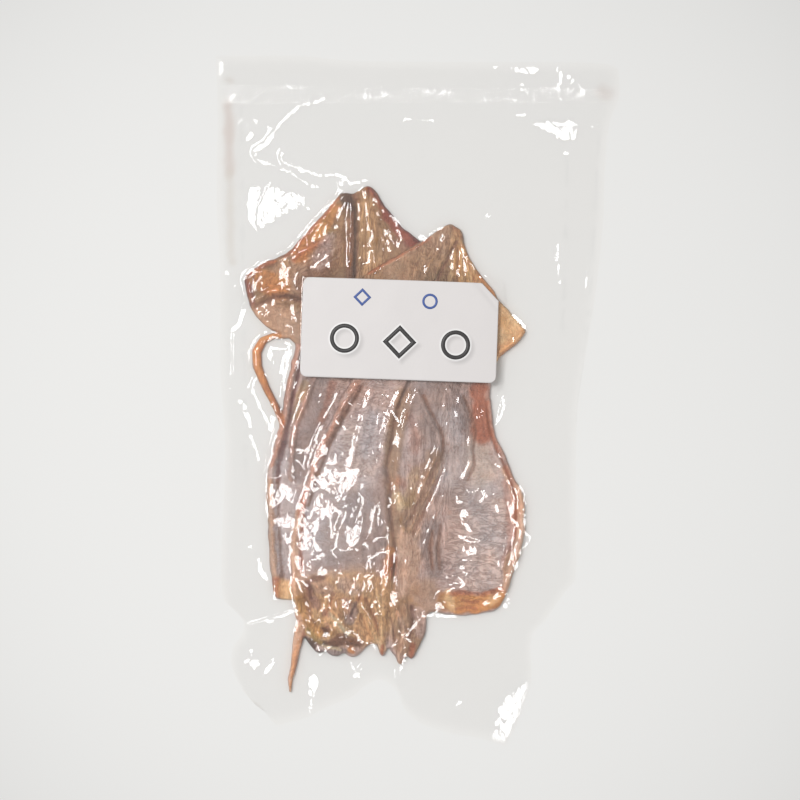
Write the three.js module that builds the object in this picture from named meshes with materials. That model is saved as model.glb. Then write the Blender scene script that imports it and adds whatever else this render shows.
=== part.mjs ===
// Dried squid in a clear vacuum bag, lying flat. Two squid, split open and pressed flat, lie one
// over the other with their fins towards the top seal. The film clings to them, so the bag is one
// sealed body with their relief, and a paper label is stuck on the film over the fins.
//
// Millimetres. +X runs across the bag, +Y along it to the top seal, +Z up. The origin is the
// middle of the bag's footprint, on the surface that the bag lies on.

import * as THREE from 'three';

// Thicknesses and heights.
const EMPTY_STACK = 0.9;
const SEALED_STACK = 0.55;
const OPEN_FLAP_STACK = 1.5;
const BACK_SHEET = 2.5;
const FRONT_SHEET = 2.9;
const MARGIN_LIFT = 2.6;
const LABEL_THICKNESS = 0.35;
const LABEL_GAP = 0.3;

// Widths over which one height passes into the next.
const SHEET_EDGE = 2.4;
const DRAPED_EDGE = 14;
const LIFT_START = 4;
const LIFT_FULL = 26;
const SIDE_SEAL = 8;
const SIDE_SEAL_FADE = 3;
const SEAL_FADE = 6;
const RIM_FADE = 12;

// Lengths of the two waves in the film of the empty margins, as [along x, along y].
const WAVE = [19, 31];
const CROSS_WAVE = [43, 27];

// The bag's four edges. Those of the sides are [y, x], those of the ends are [x, y].
const LEFT_EDGE = [
  [-166, -67], [-161, -71], [-157, -77], [-150, -82], [-140, -86], [-131, -85], [-126, -81.5],
  [-119, -80], [-113, -85], [-107, -91], [-87, -93], [-30, -93], [12, -97], [64, -99],
  [100, -102], [142, -103], [175, -105],
];
const RIGHT_EDGE = [
  [-178, 58], [-165, 64], [-149, 69], [-143, 70], [-120, 69.5], [-112, 76], [-97, 86], [-90, 91],
  [-60, 90], [-5, 89], [12, 90.5], [55, 96], [96, 99], [125, 99], [147, 100.5], [162, 105],
  [176, 104],
];
const BOTTOM_EDGE = [
  [-67, -166], [-62, -171], [-56, -170], [-46, -167], [-35, -161], [-22, -155], [-17, -150],
  [-8, -146], [0, -151], [5, -161], [14, -168], [32, -173], [47, -175], [53, -177], [58, -178],
];
const TOP_EDGE = [
  [-105, 175], [-61, 176.5], [-35, 175], [-4, 175.5], [43, 177], [74, 178], [96, 178], [104, 176],
];

// The band of the top seal: its lower and upper lines at the left and the right edge.
const SEAL_BAND = { left: [151, 159], right: [158, 165] };

// The squid underneath, clockwise from the point of its fins. Its right side is hidden.
const BACK_SQUID = [
  [-24, 111], [-21, 108], [-16, 102], [-13, 96], [-6, 90], [3, 83], [18, 74], [24, 60], [20, 40],
  [30, 0], [44, -50], [40, -96], [0, -104], [-57, -106], [-65, -106], [-67, -86], [-70, -65],
  [-71, -45], [-70, -36], [-68, -25], [-65, -13], [-63, 2], [-61, 16], [-57, 26], [-70, 33],
  [-77, 38], [-83, 44], [-86, 62], [-71, 71], [-66, 72], [-62, 76], [-58, 82], [-46, 95],
  [-38, 106], [-31, 105],
];

// The squid on top, clockwise from the point of its fins, with the head's shrivelled end below.
const FRONT_SQUID = [
  [21, 92], [26, 89], [27, 80], [33, 70], [43, 57], [54, 47], [62, 38], [58, 32], [47, 23],
  [43, 8], [44, -7], [48, -19], [52, -26], [57, -39], [62, -45], [64, -52], [64, -66], [63, -76],
  [59, -88], [54, -103], [50, -107], [43, -109], [32, -111], [18, -109], [12, -119], [5, -130],
  [2, -139], [-1, -127], [-5, -125], [-8, -135], [-12, -127], [-23, -134], [-38, -134],
  [-48, -126], [-53, -114], [-57, -99], [-57, -74], [-56, -60], [-50, -41], [-46, -27],
  [-41, -16], [-36, -5], [-29, 9], [-21, 25], [-30, 41], [-31, 46], [-23, 65], [-9, 73],
  [8, 84], [10, 87],
];

// Curled rims and lengthwise folds that stand up from the sheets.
const RIDGES = [
  { name: 'left rim of the front squid', half: 4, height: 2.6, path: [
    [-29, 9], [-36, -5], [-43, -21], [-49, -41], [-54, -60], [-55, -80], [-54, -103] ] },
  { name: 'right rim of the front squid', half: 5, height: 2.4, path: [
    [41, 8], [42, -7], [46, -20], [55, -40], [60, -52], [60, -68], [57, -86], [50, -102] ] },
  { name: 'lower right border', half: 6, height: 1.2, path: [
    [49, -103], [40, -106], [30, -107], [16, -106] ] },
  { name: 'middle fold', half: 4.5, height: 2.2, path: [
    [5, 8], [3, -10], [0, -30], [1, -50], [1, -75], [-1, -95], [-6, -124] ] },
  { name: 'fold right of the middle', half: 4, height: 1.8, path: [
    [8, 0], [15, -17], [17, -30], [12, -46], [5, -68], [3, -100] ] },
  { name: 'outer fold', half: 4, height: 1.5, path: [
    [27, 1], [34, -15], [33, -25], [31, -40], [25, -58] ] },
  { name: 'fold of the left half', half: 5, height: 1.2, path: [
    [-17, 5], [-24, -20], [-28, -50], [-27, -90] ] },
  { name: 'left rim of the back squid', half: 4, height: 1.4, path: [
    [-59, 16], [-62, -2], [-66, -22], [-69, -42], [-68, -65], [-65, -86], [-62, -103] ] },
  { name: 'strip beside that rim', half: 3.5, height: 1.5, path: [
    [-48, 9], [-54, -8], [-58, -22], [-58, -43] ] },
  { name: 'midline of the back fins', half: 5, height: 1.5, path: [
    [-28, 108], [-31, 100], [-30, 63] ] },
  { name: 'crease of the left fin', half: 5, height: 1.2, path: [
    [-61, 72], [-51, 78], [-42, 83] ] },
  { name: 'midline of the front fins', half: 5, height: 1.4, path: [
    [20, 89], [12, 70], [8, 45] ] },
  { name: 'shrivelled head', half: 8, height: 1.8, path: [
    [-46, -112], [-34, -120], [-20, -122] ] },
];

// Pieces that lie beside the sheets: their own height is above the table.
const STRANDS = [
  { name: 'tentacle loop', half: 3, height: 3.4, path: [
    [-65, -16], [-68, -5], [-75, 7], [-80, 19], [-77, 27], [-68, 32] ] },
  { name: 'left point', half: 3, height: 3, path: [
    [-52, -112], [-54, -127], [-55.5, -140], [-55, -152] ] },
];

// Pleats of the empty film.
const PLEATS = [
  { name: 'pleat over the left fin', half: 5, height: 2.6, path: [
    [-49, 154], [-61, 148], [-71, 140], [-79, 130], [-84, 126], [-79, 120], [-68, 112],
    [-46, 104] ] },
  { name: 'puffed film at the left', half: 11, height: 3.2, path: [
    [-80, 103], [-74, 95] ] },
  { name: 'puffed film at the right', half: 9, height: 3, path: [
    [68, 141], [86, 136] ] },
  { name: 'pleat below the left corner', half: 6, height: 2.4, path: [
    [-46, -142], [-47, -152], [-49, -162] ] },
  { name: 'puffed film at the lower right', half: 9, height: 3, path: [
    [48, -152], [55, -166] ] },
];

// The label, a rectangle with rounded corners. Its upper right corner is bent down.
const LABEL = { left: -55.5, right: 46, low: 10, high: 61.5, corner: 3.5, bent: 9 };
const LABEL_LOW = 4.2;
const LABEL_CROWN = 3.5;
const LABEL_CROWN_HALF = 62;
const LABEL_CROWN_MIDDLE = 2;
const LABEL_BEND_DROP = 1.6;
const LABEL_BEND_REACH = 17;
const LABEL_BORDER = 6;

// Cells of the bag's skin, as [fraction reached, cells up to it], closest over the squid.
const COLUMN_RUNS = [[0.05, 2], [0.87, 40], [1, 4]];
const ROW_RUNS = [[0.05, 2], [0.83, 74], [0.92, 6], [0.97, 4], [1, 2]];
const LABEL_COLUMN_RUNS = [[0.035, 3], [0.9, 12], [1, 5]];
const LABEL_ROW_RUNS = [[1, 9]];
const RELAX_ROUNDS = 8;
const FILM_PULL = 0.22;

const lerp = THREE.MathUtils.lerp;
const clamp01 = (value) => THREE.MathUtils.clamp(value, 0, 1);

function smoothstep(from, to, value) {
  const t = clamp01((value - from) / (to - from));
  return t * t * (3 - 2 * t);
}

// A smooth curve through [t, value] points with growing t, flat beyond its ends.
function profile(points) {
  const slope = (i) => {
    const before = points[Math.max(i - 1, 0)];
    const after = points[Math.min(i + 1, points.length - 1)];
    return (after[1] - before[1]) / (after[0] - before[0]);
  };
  return (t) => {
    const last = points.length - 1;
    if (t <= points[0][0]) return points[0][1];
    if (t >= points[last][0]) return points[last][1];
    const i = points.findIndex((point) => point[0] > t) - 1;
    const span = points[i + 1][0] - points[i][0];
    const s = (t - points[i][0]) / span;
    const eased = s * s * (3 - 2 * s);
    const bulge = s * (1 - s) * ((1 - s) * slope(i) - s * slope(i + 1)) * span;
    return lerp(points[i][1], points[i + 1][1], eased) + bulge;
  };
}

// Fractions from 0 to 1, in runs of even cells.
function stations(runs) {
  const list = [0];
  for (const [end, cells] of runs) {
    const start = list[list.length - 1];
    for (let i = 1; i <= cells; i += 1) list.push(lerp(start, end, i / cells));
  }
  return list;
}

// The distance from a point to a segment.
function segmentDistance(x, y, [ax, ay], [bx, by]) {
  const dx = bx - ax;
  const dy = by - ay;
  const t = clamp01(((x - ax) * dx + (y - ay) * dy) / (dx * dx + dy * dy));
  return Math.hypot(x - ax - t * dx, y - ay - t * dy);
}

function pathDistance(x, y, path) {
  let nearest = Infinity;
  for (let i = 1; i < path.length; i += 1) {
    nearest = Math.min(nearest, segmentDistance(x, y, path[i - 1], path[i]));
  }
  return nearest;
}

// The depth of a point inside a closed outline, negative outside.
function depthInside(x, y, outline) {
  let inside = false;
  let nearest = Infinity;
  outline.forEach((a, i) => {
    const b = outline[(i + 1) % outline.length];
    nearest = Math.min(nearest, segmentDistance(x, y, a, b));
    const crosses = (a[1] > y) !== (b[1] > y);
    if (crosses && x < a[0] + (b[0] - a[0]) * (y - a[1]) / (b[1] - a[1])) inside = !inside;
  });
  return inside ? nearest : -nearest;
}

function roundRidge(distance, { half, height }) {
  const t = distance / half;
  return t < 1 ? height * (1 - t * t) ** 1.5 : 0;
}

// A closed body between a lower and an upper skin over one patch. The upper skin has a vertex at
// each pair of stations, the lower one at every second or at each, as stride says.
function slab({ place, upper, lower, us, vs, stride }) {
  const positions = [];
  const faces = [];
  const topAt = (i, j) => j * us.length + i;
  vs.forEach((v, j) => us.forEach((u, i) => {
    const [x, y] = place(u, v);
    positions.push(x, y, upper(x, y, i, j));
  }));
  const lowerBase = positions.length / 3;
  const lowerColumns = (us.length - 1) / stride + 1;
  const lowAt = (i, j) => lowerBase + (j / stride) * lowerColumns + i / stride;
  for (let j = 0; j < vs.length; j += stride) {
    for (let i = 0; i < us.length; i += stride) {
      const [x, y] = place(us[i], vs[j]);
      positions.push(x, y, lower(x, y));
    }
  }
  const quad = (a, b, c, d) => faces.push(a, b, c, a, c, d);
  for (let j = 0; j < vs.length - 1; j += 1) {
    for (let i = 0; i < us.length - 1; i += 1) {
      quad(topAt(i, j), topAt(i + 1, j), topAt(i + 1, j + 1), topAt(i, j + 1));
    }
  }
  for (let j = 0; j < vs.length - 1; j += stride) {
    for (let i = 0; i < us.length - 1; i += stride) {
      quad(lowAt(i, j), lowAt(i, j + stride), lowAt(i + stride, j + stride),
        lowAt(i + stride, j));
    }
  }
  // The rim: a fan of triangles from each lower edge up to the upper edges over it.
  const rim = [];
  for (let i = 0; i < us.length - 1; i += stride) rim.push([i, 0, 1, 0]);
  for (let j = 0; j < vs.length - 1; j += stride) rim.push([us.length - 1, j, 0, 1]);
  for (let i = us.length - 1; i > 0; i -= stride) rim.push([i, vs.length - 1, -1, 0]);
  for (let j = vs.length - 1; j > 0; j -= stride) rim.push([0, j, 0, -1]);
  for (const [i, j, di, dj] of rim) {
    const endLow = lowAt(i + di * stride, j + dj * stride);
    faces.push(lowAt(i, j), endLow, topAt(i, j));
    for (let k = 0; k < stride; k += 1) {
      faces.push(topAt(i + di * k, j + dj * k), endLow, topAt(i + di * (k + 1), j + dj * (k + 1)));
    }
  }
  const geometry = new THREE.BufferGeometry();
  geometry.setAttribute('position', new THREE.Float32BufferAttribute(positions, 3));
  geometry.setIndex(faces);
  geometry.computeVertexNormals();
  return geometry;
}

// A point of the bag's footprint, blended from its four edges.
const leftX = profile(LEFT_EDGE);
const rightX = profile(RIGHT_EDGE);
const bottomY = profile(BOTTOM_EDGE);
const topY = profile(TOP_EDGE);

function edgePoint(points, curve, fraction) {
  const t = lerp(points[0][0], points[points.length - 1][0], fraction);
  return [t, curve(t)];
}

function footprint(u, v) {
  const [leftPointY, leftPointX] = edgePoint(LEFT_EDGE, leftX, v);
  const [rightPointY, rightPointX] = edgePoint(RIGHT_EDGE, rightX, v);
  const bottom = edgePoint(BOTTOM_EDGE, bottomY, u);
  const top = edgePoint(TOP_EDGE, topY, u);
  const corners = [
    [BOTTOM_EDGE[0], BOTTOM_EDGE[BOTTOM_EDGE.length - 1]],
    [TOP_EDGE[0], TOP_EDGE[TOP_EDGE.length - 1]],
  ];
  const blend = (axis, left, right) => {
    const across = lerp(left, right, u);
    const along = lerp(bottom[axis], top[axis], v);
    const low = lerp(corners[0][0][axis], corners[0][1][axis], u);
    const high = lerp(corners[1][0][axis], corners[1][1][axis], u);
    return across + along - lerp(low, high, v);
  };
  return [blend(0, leftPointX, rightPointX), blend(1, leftPointY, rightPointY)];
}

// The lower and upper line of the top seal at x.
function sealLines(x) {
  const left = TOP_EDGE[0][0];
  const right = TOP_EDGE[TOP_EDGE.length - 1][0];
  const across = clamp01((x - left) / (right - left));
  return [0, 1].map((line) => lerp(SEAL_BAND.left[line], SEAL_BAND.right[line], across));
}

// The height of the upper film where nothing lies under it: pressed thin in the seals and along
// the rim, lifted by the air left in the margins and in the open flap.
function emptyStack(x, y) {
  const [low, high] = sealLines(x);
  const flap = smoothstep(high, high + SEAL_FADE, y);
  const fromSide = Math.min(x - leftX(y), rightX(y) - x);
  const fromEnd = Math.min(y - bottomY(x), topY(x) - y);
  const margin = smoothstep(low, low - SEAL_FADE, y)
    * smoothstep(SIDE_SEAL - SIDE_SEAL_FADE, SIDE_SEAL, fromSide);
  const stack = SEALED_STACK + flap * (OPEN_FLAP_STACK - SEALED_STACK)
    + margin * (EMPTY_STACK - SEALED_STACK);
  const outside = -Math.max(depthInside(x, y, BACK_SQUID), depthInside(x, y, FRONT_SQUID));
  const free = smoothstep(LIFT_START, LIFT_FULL, outside) * Math.max(flap, margin);
  const wave = Math.sin(x / WAVE[0] + y / WAVE[1]) * Math.cos(y / CROSS_WAVE[1] - x / CROSS_WAVE[0]);
  const lift = MARGIN_LIFT * free * smoothstep(0, RIM_FADE, Math.min(fromSide, fromEnd));
  return stack + lift * (0.5 + 0.5 * wave);
}

// The top of the dried squid, without film.
function squidTop(x, y) {
  const backDepth = depthInside(x, y, BACK_SQUID);
  const frontDepth = depthInside(x, y, FRONT_SQUID);
  const back = BACK_SHEET * smoothstep(-SHEET_EDGE, SHEET_EDGE, backDepth);
  const draped = BACK_SHEET * smoothstep(-DRAPED_EDGE, DRAPED_EDGE, backDepth) + FRONT_SHEET;
  const front = draped * smoothstep(-SHEET_EDGE, SHEET_EDGE, frontDepth);
  const onSheets = smoothstep(-SHEET_EDGE, SHEET_EDGE, Math.max(backDepth, frontDepth));
  let top = Math.max(back, front);
  for (const ridge of RIDGES) {
    top += onSheets * roundRidge(pathDistance(x, y, ridge.path), ridge);
  }
  for (const strand of STRANDS) {
    top = Math.max(top, roundRidge(pathDistance(x, y, strand.path), strand));
  }
  return top;
}

// The film under the label: pressed to the label's own shape, low at the ends, high between, with
// the upper right corner bent down.
function labelRest(x, y) {
  const across = (x - LABEL_CROWN_MIDDLE) / LABEL_CROWN_HALF;
  const fromCorner = (LABEL.right - x) + (LABEL.high - y);
  const bend = 1 - smoothstep(0, LABEL_BEND_REACH, fromCorner);
  return LABEL_LOW + LABEL_CROWN * (1 - across * across) - LABEL_BEND_DROP * bend;
}

function underLabel(x, y) {
  const inX = Math.min(x - LABEL.left, LABEL.right - x);
  const inY = Math.min(y - LABEL.low, LABEL.high - y);
  return Math.min(inX, inY) > -LABEL_BORDER;
}

// The upper film: it can't go below what it covers, and between that it is pulled smooth.
function drapedFilm(us, vs) {
  const rest = [];
  const fixed = [];
  vs.forEach((v) => us.forEach((u) => {
    const [x, y] = footprint(u, v);
    let empty = emptyStack(x, y);
    for (const pleat of PLEATS) empty += roundRidge(pathDistance(x, y, pleat.path), pleat);
    const held = underLabel(x, y);
    fixed.push(held);
    rest.push(held ? labelRest(x, y) : Math.max(empty, squidTop(x, y) + SEALED_STACK));
  }));
  const columns = us.length;
  let film = rest.slice();
  for (let round = 0; round < RELAX_ROUNDS; round += 1) {
    const next = film.slice();
    for (let j = 1; j < vs.length - 1; j += 1) {
      for (let i = 1; i < columns - 1; i += 1) {
        const at = j * columns + i;
        const around = film[at - 1] + film[at + 1] + film[at - columns] + film[at + columns];
        if (!fixed[at]) next[at] = Math.max(rest[at], around / 4 - FILM_PULL);
      }
    }
    film = next;
  }
  return film;
}

function makeBag() {
  const us = stations(COLUMN_RUNS);
  const vs = stations(ROW_RUNS);
  const film = drapedFilm(us, vs);
  const geometry = slab({
    place: footprint,
    upper: (x, y, i, j) => film[j * us.length + i],
    lower: () => 0,
    us,
    vs,
    stride: 2,
  });
  const material = new THREE.MeshStandardMaterial({
    color: 0xd9cfc6, roughness: 0.12, metalness: 0, transparent: true, opacity: 0.6,
  });
  const bag = new THREE.Mesh(geometry, material);
  bag.name = 'bag';
  return bag;
}

// The label's outline: how far its corners cut in from the ends, at a distance from them.
function cornerCut(distance, size) {
  const t = clamp01(1 - distance / size);
  return size * (1 - Math.sqrt(1 - t * t));
}

function labelPoint(u, v) {
  const x = lerp(LABEL.left, LABEL.right, u);
  const leftCut = cornerCut(x - LABEL.left, LABEL.corner);
  const lowCut = Math.max(leftCut, cornerCut(LABEL.right - x, LABEL.corner));
  const bentCut = Math.max(LABEL.bent - (LABEL.right - x), 0);
  const low = LABEL.low + lowCut;
  const high = LABEL.high - Math.max(leftCut, bentCut);
  return [x, lerp(low, high, v)];
}

function makeLabel() {
  const geometry = slab({
    place: labelPoint,
    upper: (x, y) => labelRest(x, y) + LABEL_GAP + LABEL_THICKNESS,
    lower: (x, y) => labelRest(x, y) + LABEL_GAP,
    us: stations(LABEL_COLUMN_RUNS),
    vs: stations(LABEL_ROW_RUNS),
    stride: 1,
  });
  const material = new THREE.MeshStandardMaterial({
    color: 0xe6e2df, roughness: 0.55, metalness: 0,
  });
  const label = new THREE.Mesh(geometry, material);
  label.name = 'label';
  return label;
}

const pack = new THREE.Group();
pack.add(makeBag(), makeLabel());

export default pack;
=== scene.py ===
"""Two dried squid in a clear vacuum bag with a paper label: the looks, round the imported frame.

The squid are split open and pressed flat, and lie one over the other with their fins towards the
top seal. Lengths are millimetres in the part's own frame (+X across the bag, +Y to the top seal,
+Z up from the table) and become metres when a mesh is made.
"""

import math

import bpy
import numpy as np
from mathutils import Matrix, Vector


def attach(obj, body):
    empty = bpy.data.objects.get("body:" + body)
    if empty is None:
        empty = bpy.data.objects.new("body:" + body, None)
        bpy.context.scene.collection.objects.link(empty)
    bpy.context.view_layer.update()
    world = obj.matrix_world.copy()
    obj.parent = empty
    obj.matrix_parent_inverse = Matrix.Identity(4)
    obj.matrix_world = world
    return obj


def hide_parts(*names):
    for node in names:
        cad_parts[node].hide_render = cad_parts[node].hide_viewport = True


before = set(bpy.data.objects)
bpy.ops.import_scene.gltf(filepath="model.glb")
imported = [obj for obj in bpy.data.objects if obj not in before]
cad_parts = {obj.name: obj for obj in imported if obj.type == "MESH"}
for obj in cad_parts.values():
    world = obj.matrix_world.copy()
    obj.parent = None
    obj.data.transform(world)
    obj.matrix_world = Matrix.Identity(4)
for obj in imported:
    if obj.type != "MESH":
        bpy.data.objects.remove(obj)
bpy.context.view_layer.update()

MM = 0.001

# The camera looks straight down on the bag, turned a little, at a square frame.
VIEW_CENTRE = (-3.2, -0.4)
VIEW_TURN = 2.0
VIEW_WIDTH = 416.0
CAMERA_HEIGHT = 1100.0
SENSOR = 36.0

# The softbox stands to the upper left, and a pale room gives the rest of the light.
KEY_AZIMUTH = 152.0
KEY_TILT = 28.0
KEY_DISTANCE = 2000.0
KEY_SIZE = 660.0
KEY_WATTS = 23.0
ROOM_LIGHT = 0.54
ROOM_COLOUR = (1, 0.995, 0.985, 1)

# The floor: its place, its brightness, the painted shade that darkens it towards the corners and the
# painted light that leans over the view, and what each colour has of it.
FLOOR_DROP = 0.3
FLOOR_HALF = 3000
FLOOR_TONE = 0.80
FLOOR_CORNER_SHADE = -0.022
FLOOR_CORNER_LIMIT = 6.0
FLOOR_LIGHT_LEAN_ALONG = -0.028
FLOOR_LIGHT_LEAN_ACROSS = 0.024
FLOOR_CLOUDS = 0.015
FLOOR_SHARES = {"Red": 1.0, "Green": 0.998, "Blue": 0.985}

# The grid on which the squid are worked out.
CELL = 0.7
XS = np.arange(-106.5, 107.5, CELL)
YS = np.arange(-180, 181, CELL)
GRID_X, GRID_Y = np.meshgrid(XS, YS)

# Noise: nodes of its lattice, and how each finer octave of a cloud shrinks and fades.
LATTICE = 256
OCTAVE_SHRINK = 2.1
OCTAVE_FADE = 0.5

# The squid: the gap under them, their thickness, how round their edges are, and how deep inside
# the outline their relief is whole.
TABLE_GAP = 0.25
BACK_FLESH = 2.2
FRONT_FLESH = 2.6
EDGE_ROUND = 1.7
EDGE_MIDDLE = 0.6
RELIEF_DEPTH = 2.2

# How far under the front squid the back one is hidden, and how it thins out there.
HIDDEN_FROM = 2
HIDDEN_FULLY = 10
HIDDEN_TAPER = 12

# The front squid drapes over the back one: rounds of blur, and the least gap.
DRAPE_BLUR = 120
CONTACT_GAP = 0.12

# Where the random values of each squid start: its edge, its relief and its paint.
BACK_EDGE_SEED, BACK_SEED, BACK_PAINT_SEED = 3, 11, 31
FRONT_EDGE_SEED, FRONT_SEED, FRONT_PAINT_SEED = 5, 21, 41

# Waves of the outlines and strands as (size, rise), and the depth that stands for far outside.
OUTLINE_WAVES = (6, 0.45)
STRAND_WAVES = (3, 0.15)
STRAND_SEED = 9
FAR_OUTSIDE = 30.0

# Swells of the flesh as (size, rise), and its ripples as (size across, size along, seed, rise).
FLESH_SWELLS = (14, 0.3)
FLESH_RIPPLES = [(1.7, 8, 9, 0.16), (3.1, 2.3, 8, 0.12)]

# Wrinkles bend a little, as ripples do. The core of a patch is where it is whole.
WRINKLE_BEND_ALONG = [(5, 5, 50, 0.8)]
WRINKLE_BEND_ACROSS = [(6, 6, 70, 0.9)]
PATCH_CORE = 0.4

# How the rim of a squid's mesh is drawn to its outline, in two steps.
RIM_STEPS = (1.0, 0.7)
LEAST_STEEPNESS = 0.3
CELL_REACH = 0.8

# What the film adds to the colours under it, and the share that it lets through.
VEIL = 0.03
CLEARNESS = 0.84

# How painted flesh varies: its strokes' edges, the painted shade in the hollows of its folds and the
# painted light on their ridges, its fibres, mottling and warmth.
STROKE_WAVES = 5
STROKE_REACH = 2
FOLD_BLUR = 10
FOLD_HEIGHT = 0.5
FOLD_PAINTED_SHADE_AND_LIGHT = 0.14
FIBRES = [(1.5, 9, 3, 1.0), (0.9, 5, 4, 0.6)]
FIBRE_SHADE = 0.05
MOTTLE_SIZE = 7
MOTTLE_SHADE = 0.08
WARMTH_SIZE = 9
WARMTH = 0.05
TONE_LIMITS = (0.003, 0.95)
ALBEDO_LIMITS = (0.004, 1)

# The upper film: its grid, its gap over the squid, and how it is pulled down between high places.
FILM_CELL = 0.55
FILM_CLEARANCE = 0.22
FILM_PULL_OUTSIDE = 0.05
FILM_PULL_OVER_SQUID = 0.014
FILM_ROUNDS = 420
OVER_SQUID_FROM = 6
OVER_SQUID_FULLY = -2
DEEPEST_GROOVE = 0.5

# The empty bag: the height of its film in the seals, between them and above the top seal.
EMPTY_STACK = 0.9
SEALED_STACK = 0.55
OPEN_FLAP_STACK = 1.5
SIDE_SEAL = 8
SEAL_FADE = 16
MARGIN_EASE = 10

# Air lifts the empty film in slow waves: how far, from where beside the squid, up to where by the
# rim, and the lengths of the waves that cross.
MARGIN_LIFT = 1.2
LIFT_START = 4
LIFT_FULL = 26
RIM_FADE = 32
LIFT_WAVES = ((19, 31), (-43, 27))

# The film's mesh: runs of even cells as (end, cells), the stride of its underside, how many rim
# widths fit in the bag, how far its gloss fades at the cut edge, and where its two pieces meet.
COLUMN_RUNS = [(0.081, 12), (0.833, 282), (1, 24)]
ROW_RUNS = [(0.100, 28), (0.820, 455), (1, 54)]
UNDERSIDE_STRIDE = 6
RIMS_ACROSS = 60
RIMS_ALONG = 90
DULL_EDGE = 1.6
FILM_SPLIT = 0

# The film's tint, how milky it is by itself and over the squid, and how the hazes of painted sheen and
# the stains vary.
FILM_TINT = (0.998, 0.994, 0.989)
FILM_VEIL = 0.012
SQUID_VEIL = 0.03
HAZE_CORE = 0.1
HAZE_LEAST = 0.75
HAZE_WISPS = (8, 0.5)
HAZE_SEED = 88
STAIN_WAVES = 4
STAIN_SEED = 55

# Where the film mirrors the light: the height at which it does, the margin in which areas and
# lines are worked out, how their edges curl, and how much less it mirrors over the squid.
MIRROR_HEIGHT = 4.0
MIRROR_MARGIN = 2
CURL = 0.8
CURL_SIZE = 3.5
CURL_SEEDS = (613, 614)
SQUID_DULLING = 0.04

# Areas that mirror: how far they rise, and the softness of their edges.
FACET_RISE = 0.18
FACET_SOFTNESS = 0.7

# Lines that mirror: how far they rise, how many half widths their foot has, how soft they are, how
# strongly they mirror, and how their width varies (steady share, varying share, size).
GLINT_RISE = 0.3
GLINT_FOOT = 2.2
GLINT_SOFTNESS = 0.35
GLINT_COVER = 1.3
GLINT_WIDTHS = (0.8, 0.35, 2.5)
WIDTH_SEED = 612
KNURL_COVER = 0.34

# Crinkles of the film as (size, rise), and the share of them beside the squid.
CRINKLES = [(8.0, 0.20), (4.5, 0.12), (2.4, 0.03)]
CRINKLES_OUTSIDE = 0.25
CRINKLE_SEED = 400

# The label, a rounded rectangle with its upper right corner bent down, on a crown of the film.
# The film is held as far as its grip, and gets its own relief from the flat to the border.
LABEL = {"left": -55.5, "right": 46, "low": 10, "high": 61.5, "corner": 3.5, "bent": 9}
LABEL_LOW = 4.2
LABEL_CROWN = 3.5
LABEL_CROWN_MIDDLE = 2
LABEL_CROWN_HALF = 62
LABEL_BEND_DROP = 1.6
LABEL_BEND_REACH = 17
LABEL_BORDER = 5
LABEL_GRIP = 1
LABEL_FLAT = 0.5
LABEL_THICKNESS = 0.28
LABEL_GAP = 0.24
LABEL_COLUMN_RUNS = [(0.035, 7), (0.965, 149), (1, 7)]
LABEL_ROW_RUNS = [(1, 76)]
LABEL_CREASE = [(34, 62), (46, 48)]
LABEL_CREASE_DEPTH = 0.25
LABEL_CREASE_WIDTH = 1.2
LABEL_SWELLS = (30, 0.10)
LABEL_RIPPLES = [(9, 7, 1, 0.03)]
LABEL_SEED = 71

# How far the squid may rise at the label's border, and how much lower the back one stays.
BORDER_SLACK = 4
BACK_LOWER = 0.5

# The label's tone, its lean towards the right (painted light that lifts the right side, which the crown
# turns from the softbox), and the glow and shade beside its print.
PAPER = (218, 214, 213)
PAPER_MIDDLE = -5
PAPER_PAINTED_LIGHT_LEAN = 0.0007
GLOW = (240, 239, 238)
GLOW_REACH = (0.2, 1.1)
SHADE_REACH = 2.0
SHADE_OFFSET = 1.6
SHADE_STRENGTH = 0.22

# Plain shapes on the label as (kind, middle, size, stroke), their inks, and how they lie on it.
DARK_PRINT = [
    ("ring", (-33, 30.5), 13.0, 2.1),
    ("diamond", (-4.5, 29.5), 14.5, 2.1),
    ("ring", (24.5, 29), 13.0, 2.1),
]
BLUE_PRINT = [
    ("diamond", (-24.5, 52), 7.6, 1.2),
    ("ring", (10.5, 51), 6.8, 1.2),
]
DARK_INK = (62, 60, 60)
BLUE_INK = (72, 96, 160)
PRINT_POINTS = 96
PRINT_RISE = 0.05
PRINT_SINK = 0.01

# Noises of the materials as (scale on each axis, size, detail, warp).
EVEN = (1, 1, 1)
FLESH_CREASES = [((0.42, 1, 1), 330, 4, 1.3), ((1, 0.17, 1), 430, 3, 1.3), ((1, 0.8, 1), 230, 5, 1.5)]
FLESH_GRAIN = (EVEN, 1300, 3, 0)
FLESH_BLOTCHES = ((1, 0.8, 1), 170, 4, 0.6)
FILM_RIPPLE = ((1, 0.7, 1), 240, 1, 0)
FILM_RAGGED = (EVEN, 260, 1, 1.0)
FILM_SWIRL = ((1, 0.6, 1), 175, 1, 1.6)
PAPER_PULP = (EVEN, 1400, 4, 0)
PAPER_BLOTCHES = (EVEN, 60, 3, 0)
INK_PATCHES = (EVEN, 900, 3, 0)
FLOOR_PATCHES = (EVEN, 3, 2, 0)

# The flesh: its creases, how far it varies in tone (lighter on the relief's ridges and darker in its
# creases, as painted light and shade), and the brown of the shade painted into its hollows.
CREASE_STEEPNESS = 11.0
CREASE_MIDDLE = 0.65
RELIEF_PAINTED_SHADING = 0.30
GRAIN_TONE = 0.5
BLOTCH_TONE = 0.45
DARKEST_TONE = 0.3
HOLLOW_SHADE_RANGE = (0.0, -0.6, 0.0, 0.6)
HOLLOW_SHADE_BROWN = (0.93, 0.76, 0.70, 1)
GRAIN_HEIGHT = 0.15
FLESH_ROUGHNESS = (0.3, 0.32)
FLESH_BUMP = (0.7, 0.0006)

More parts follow.
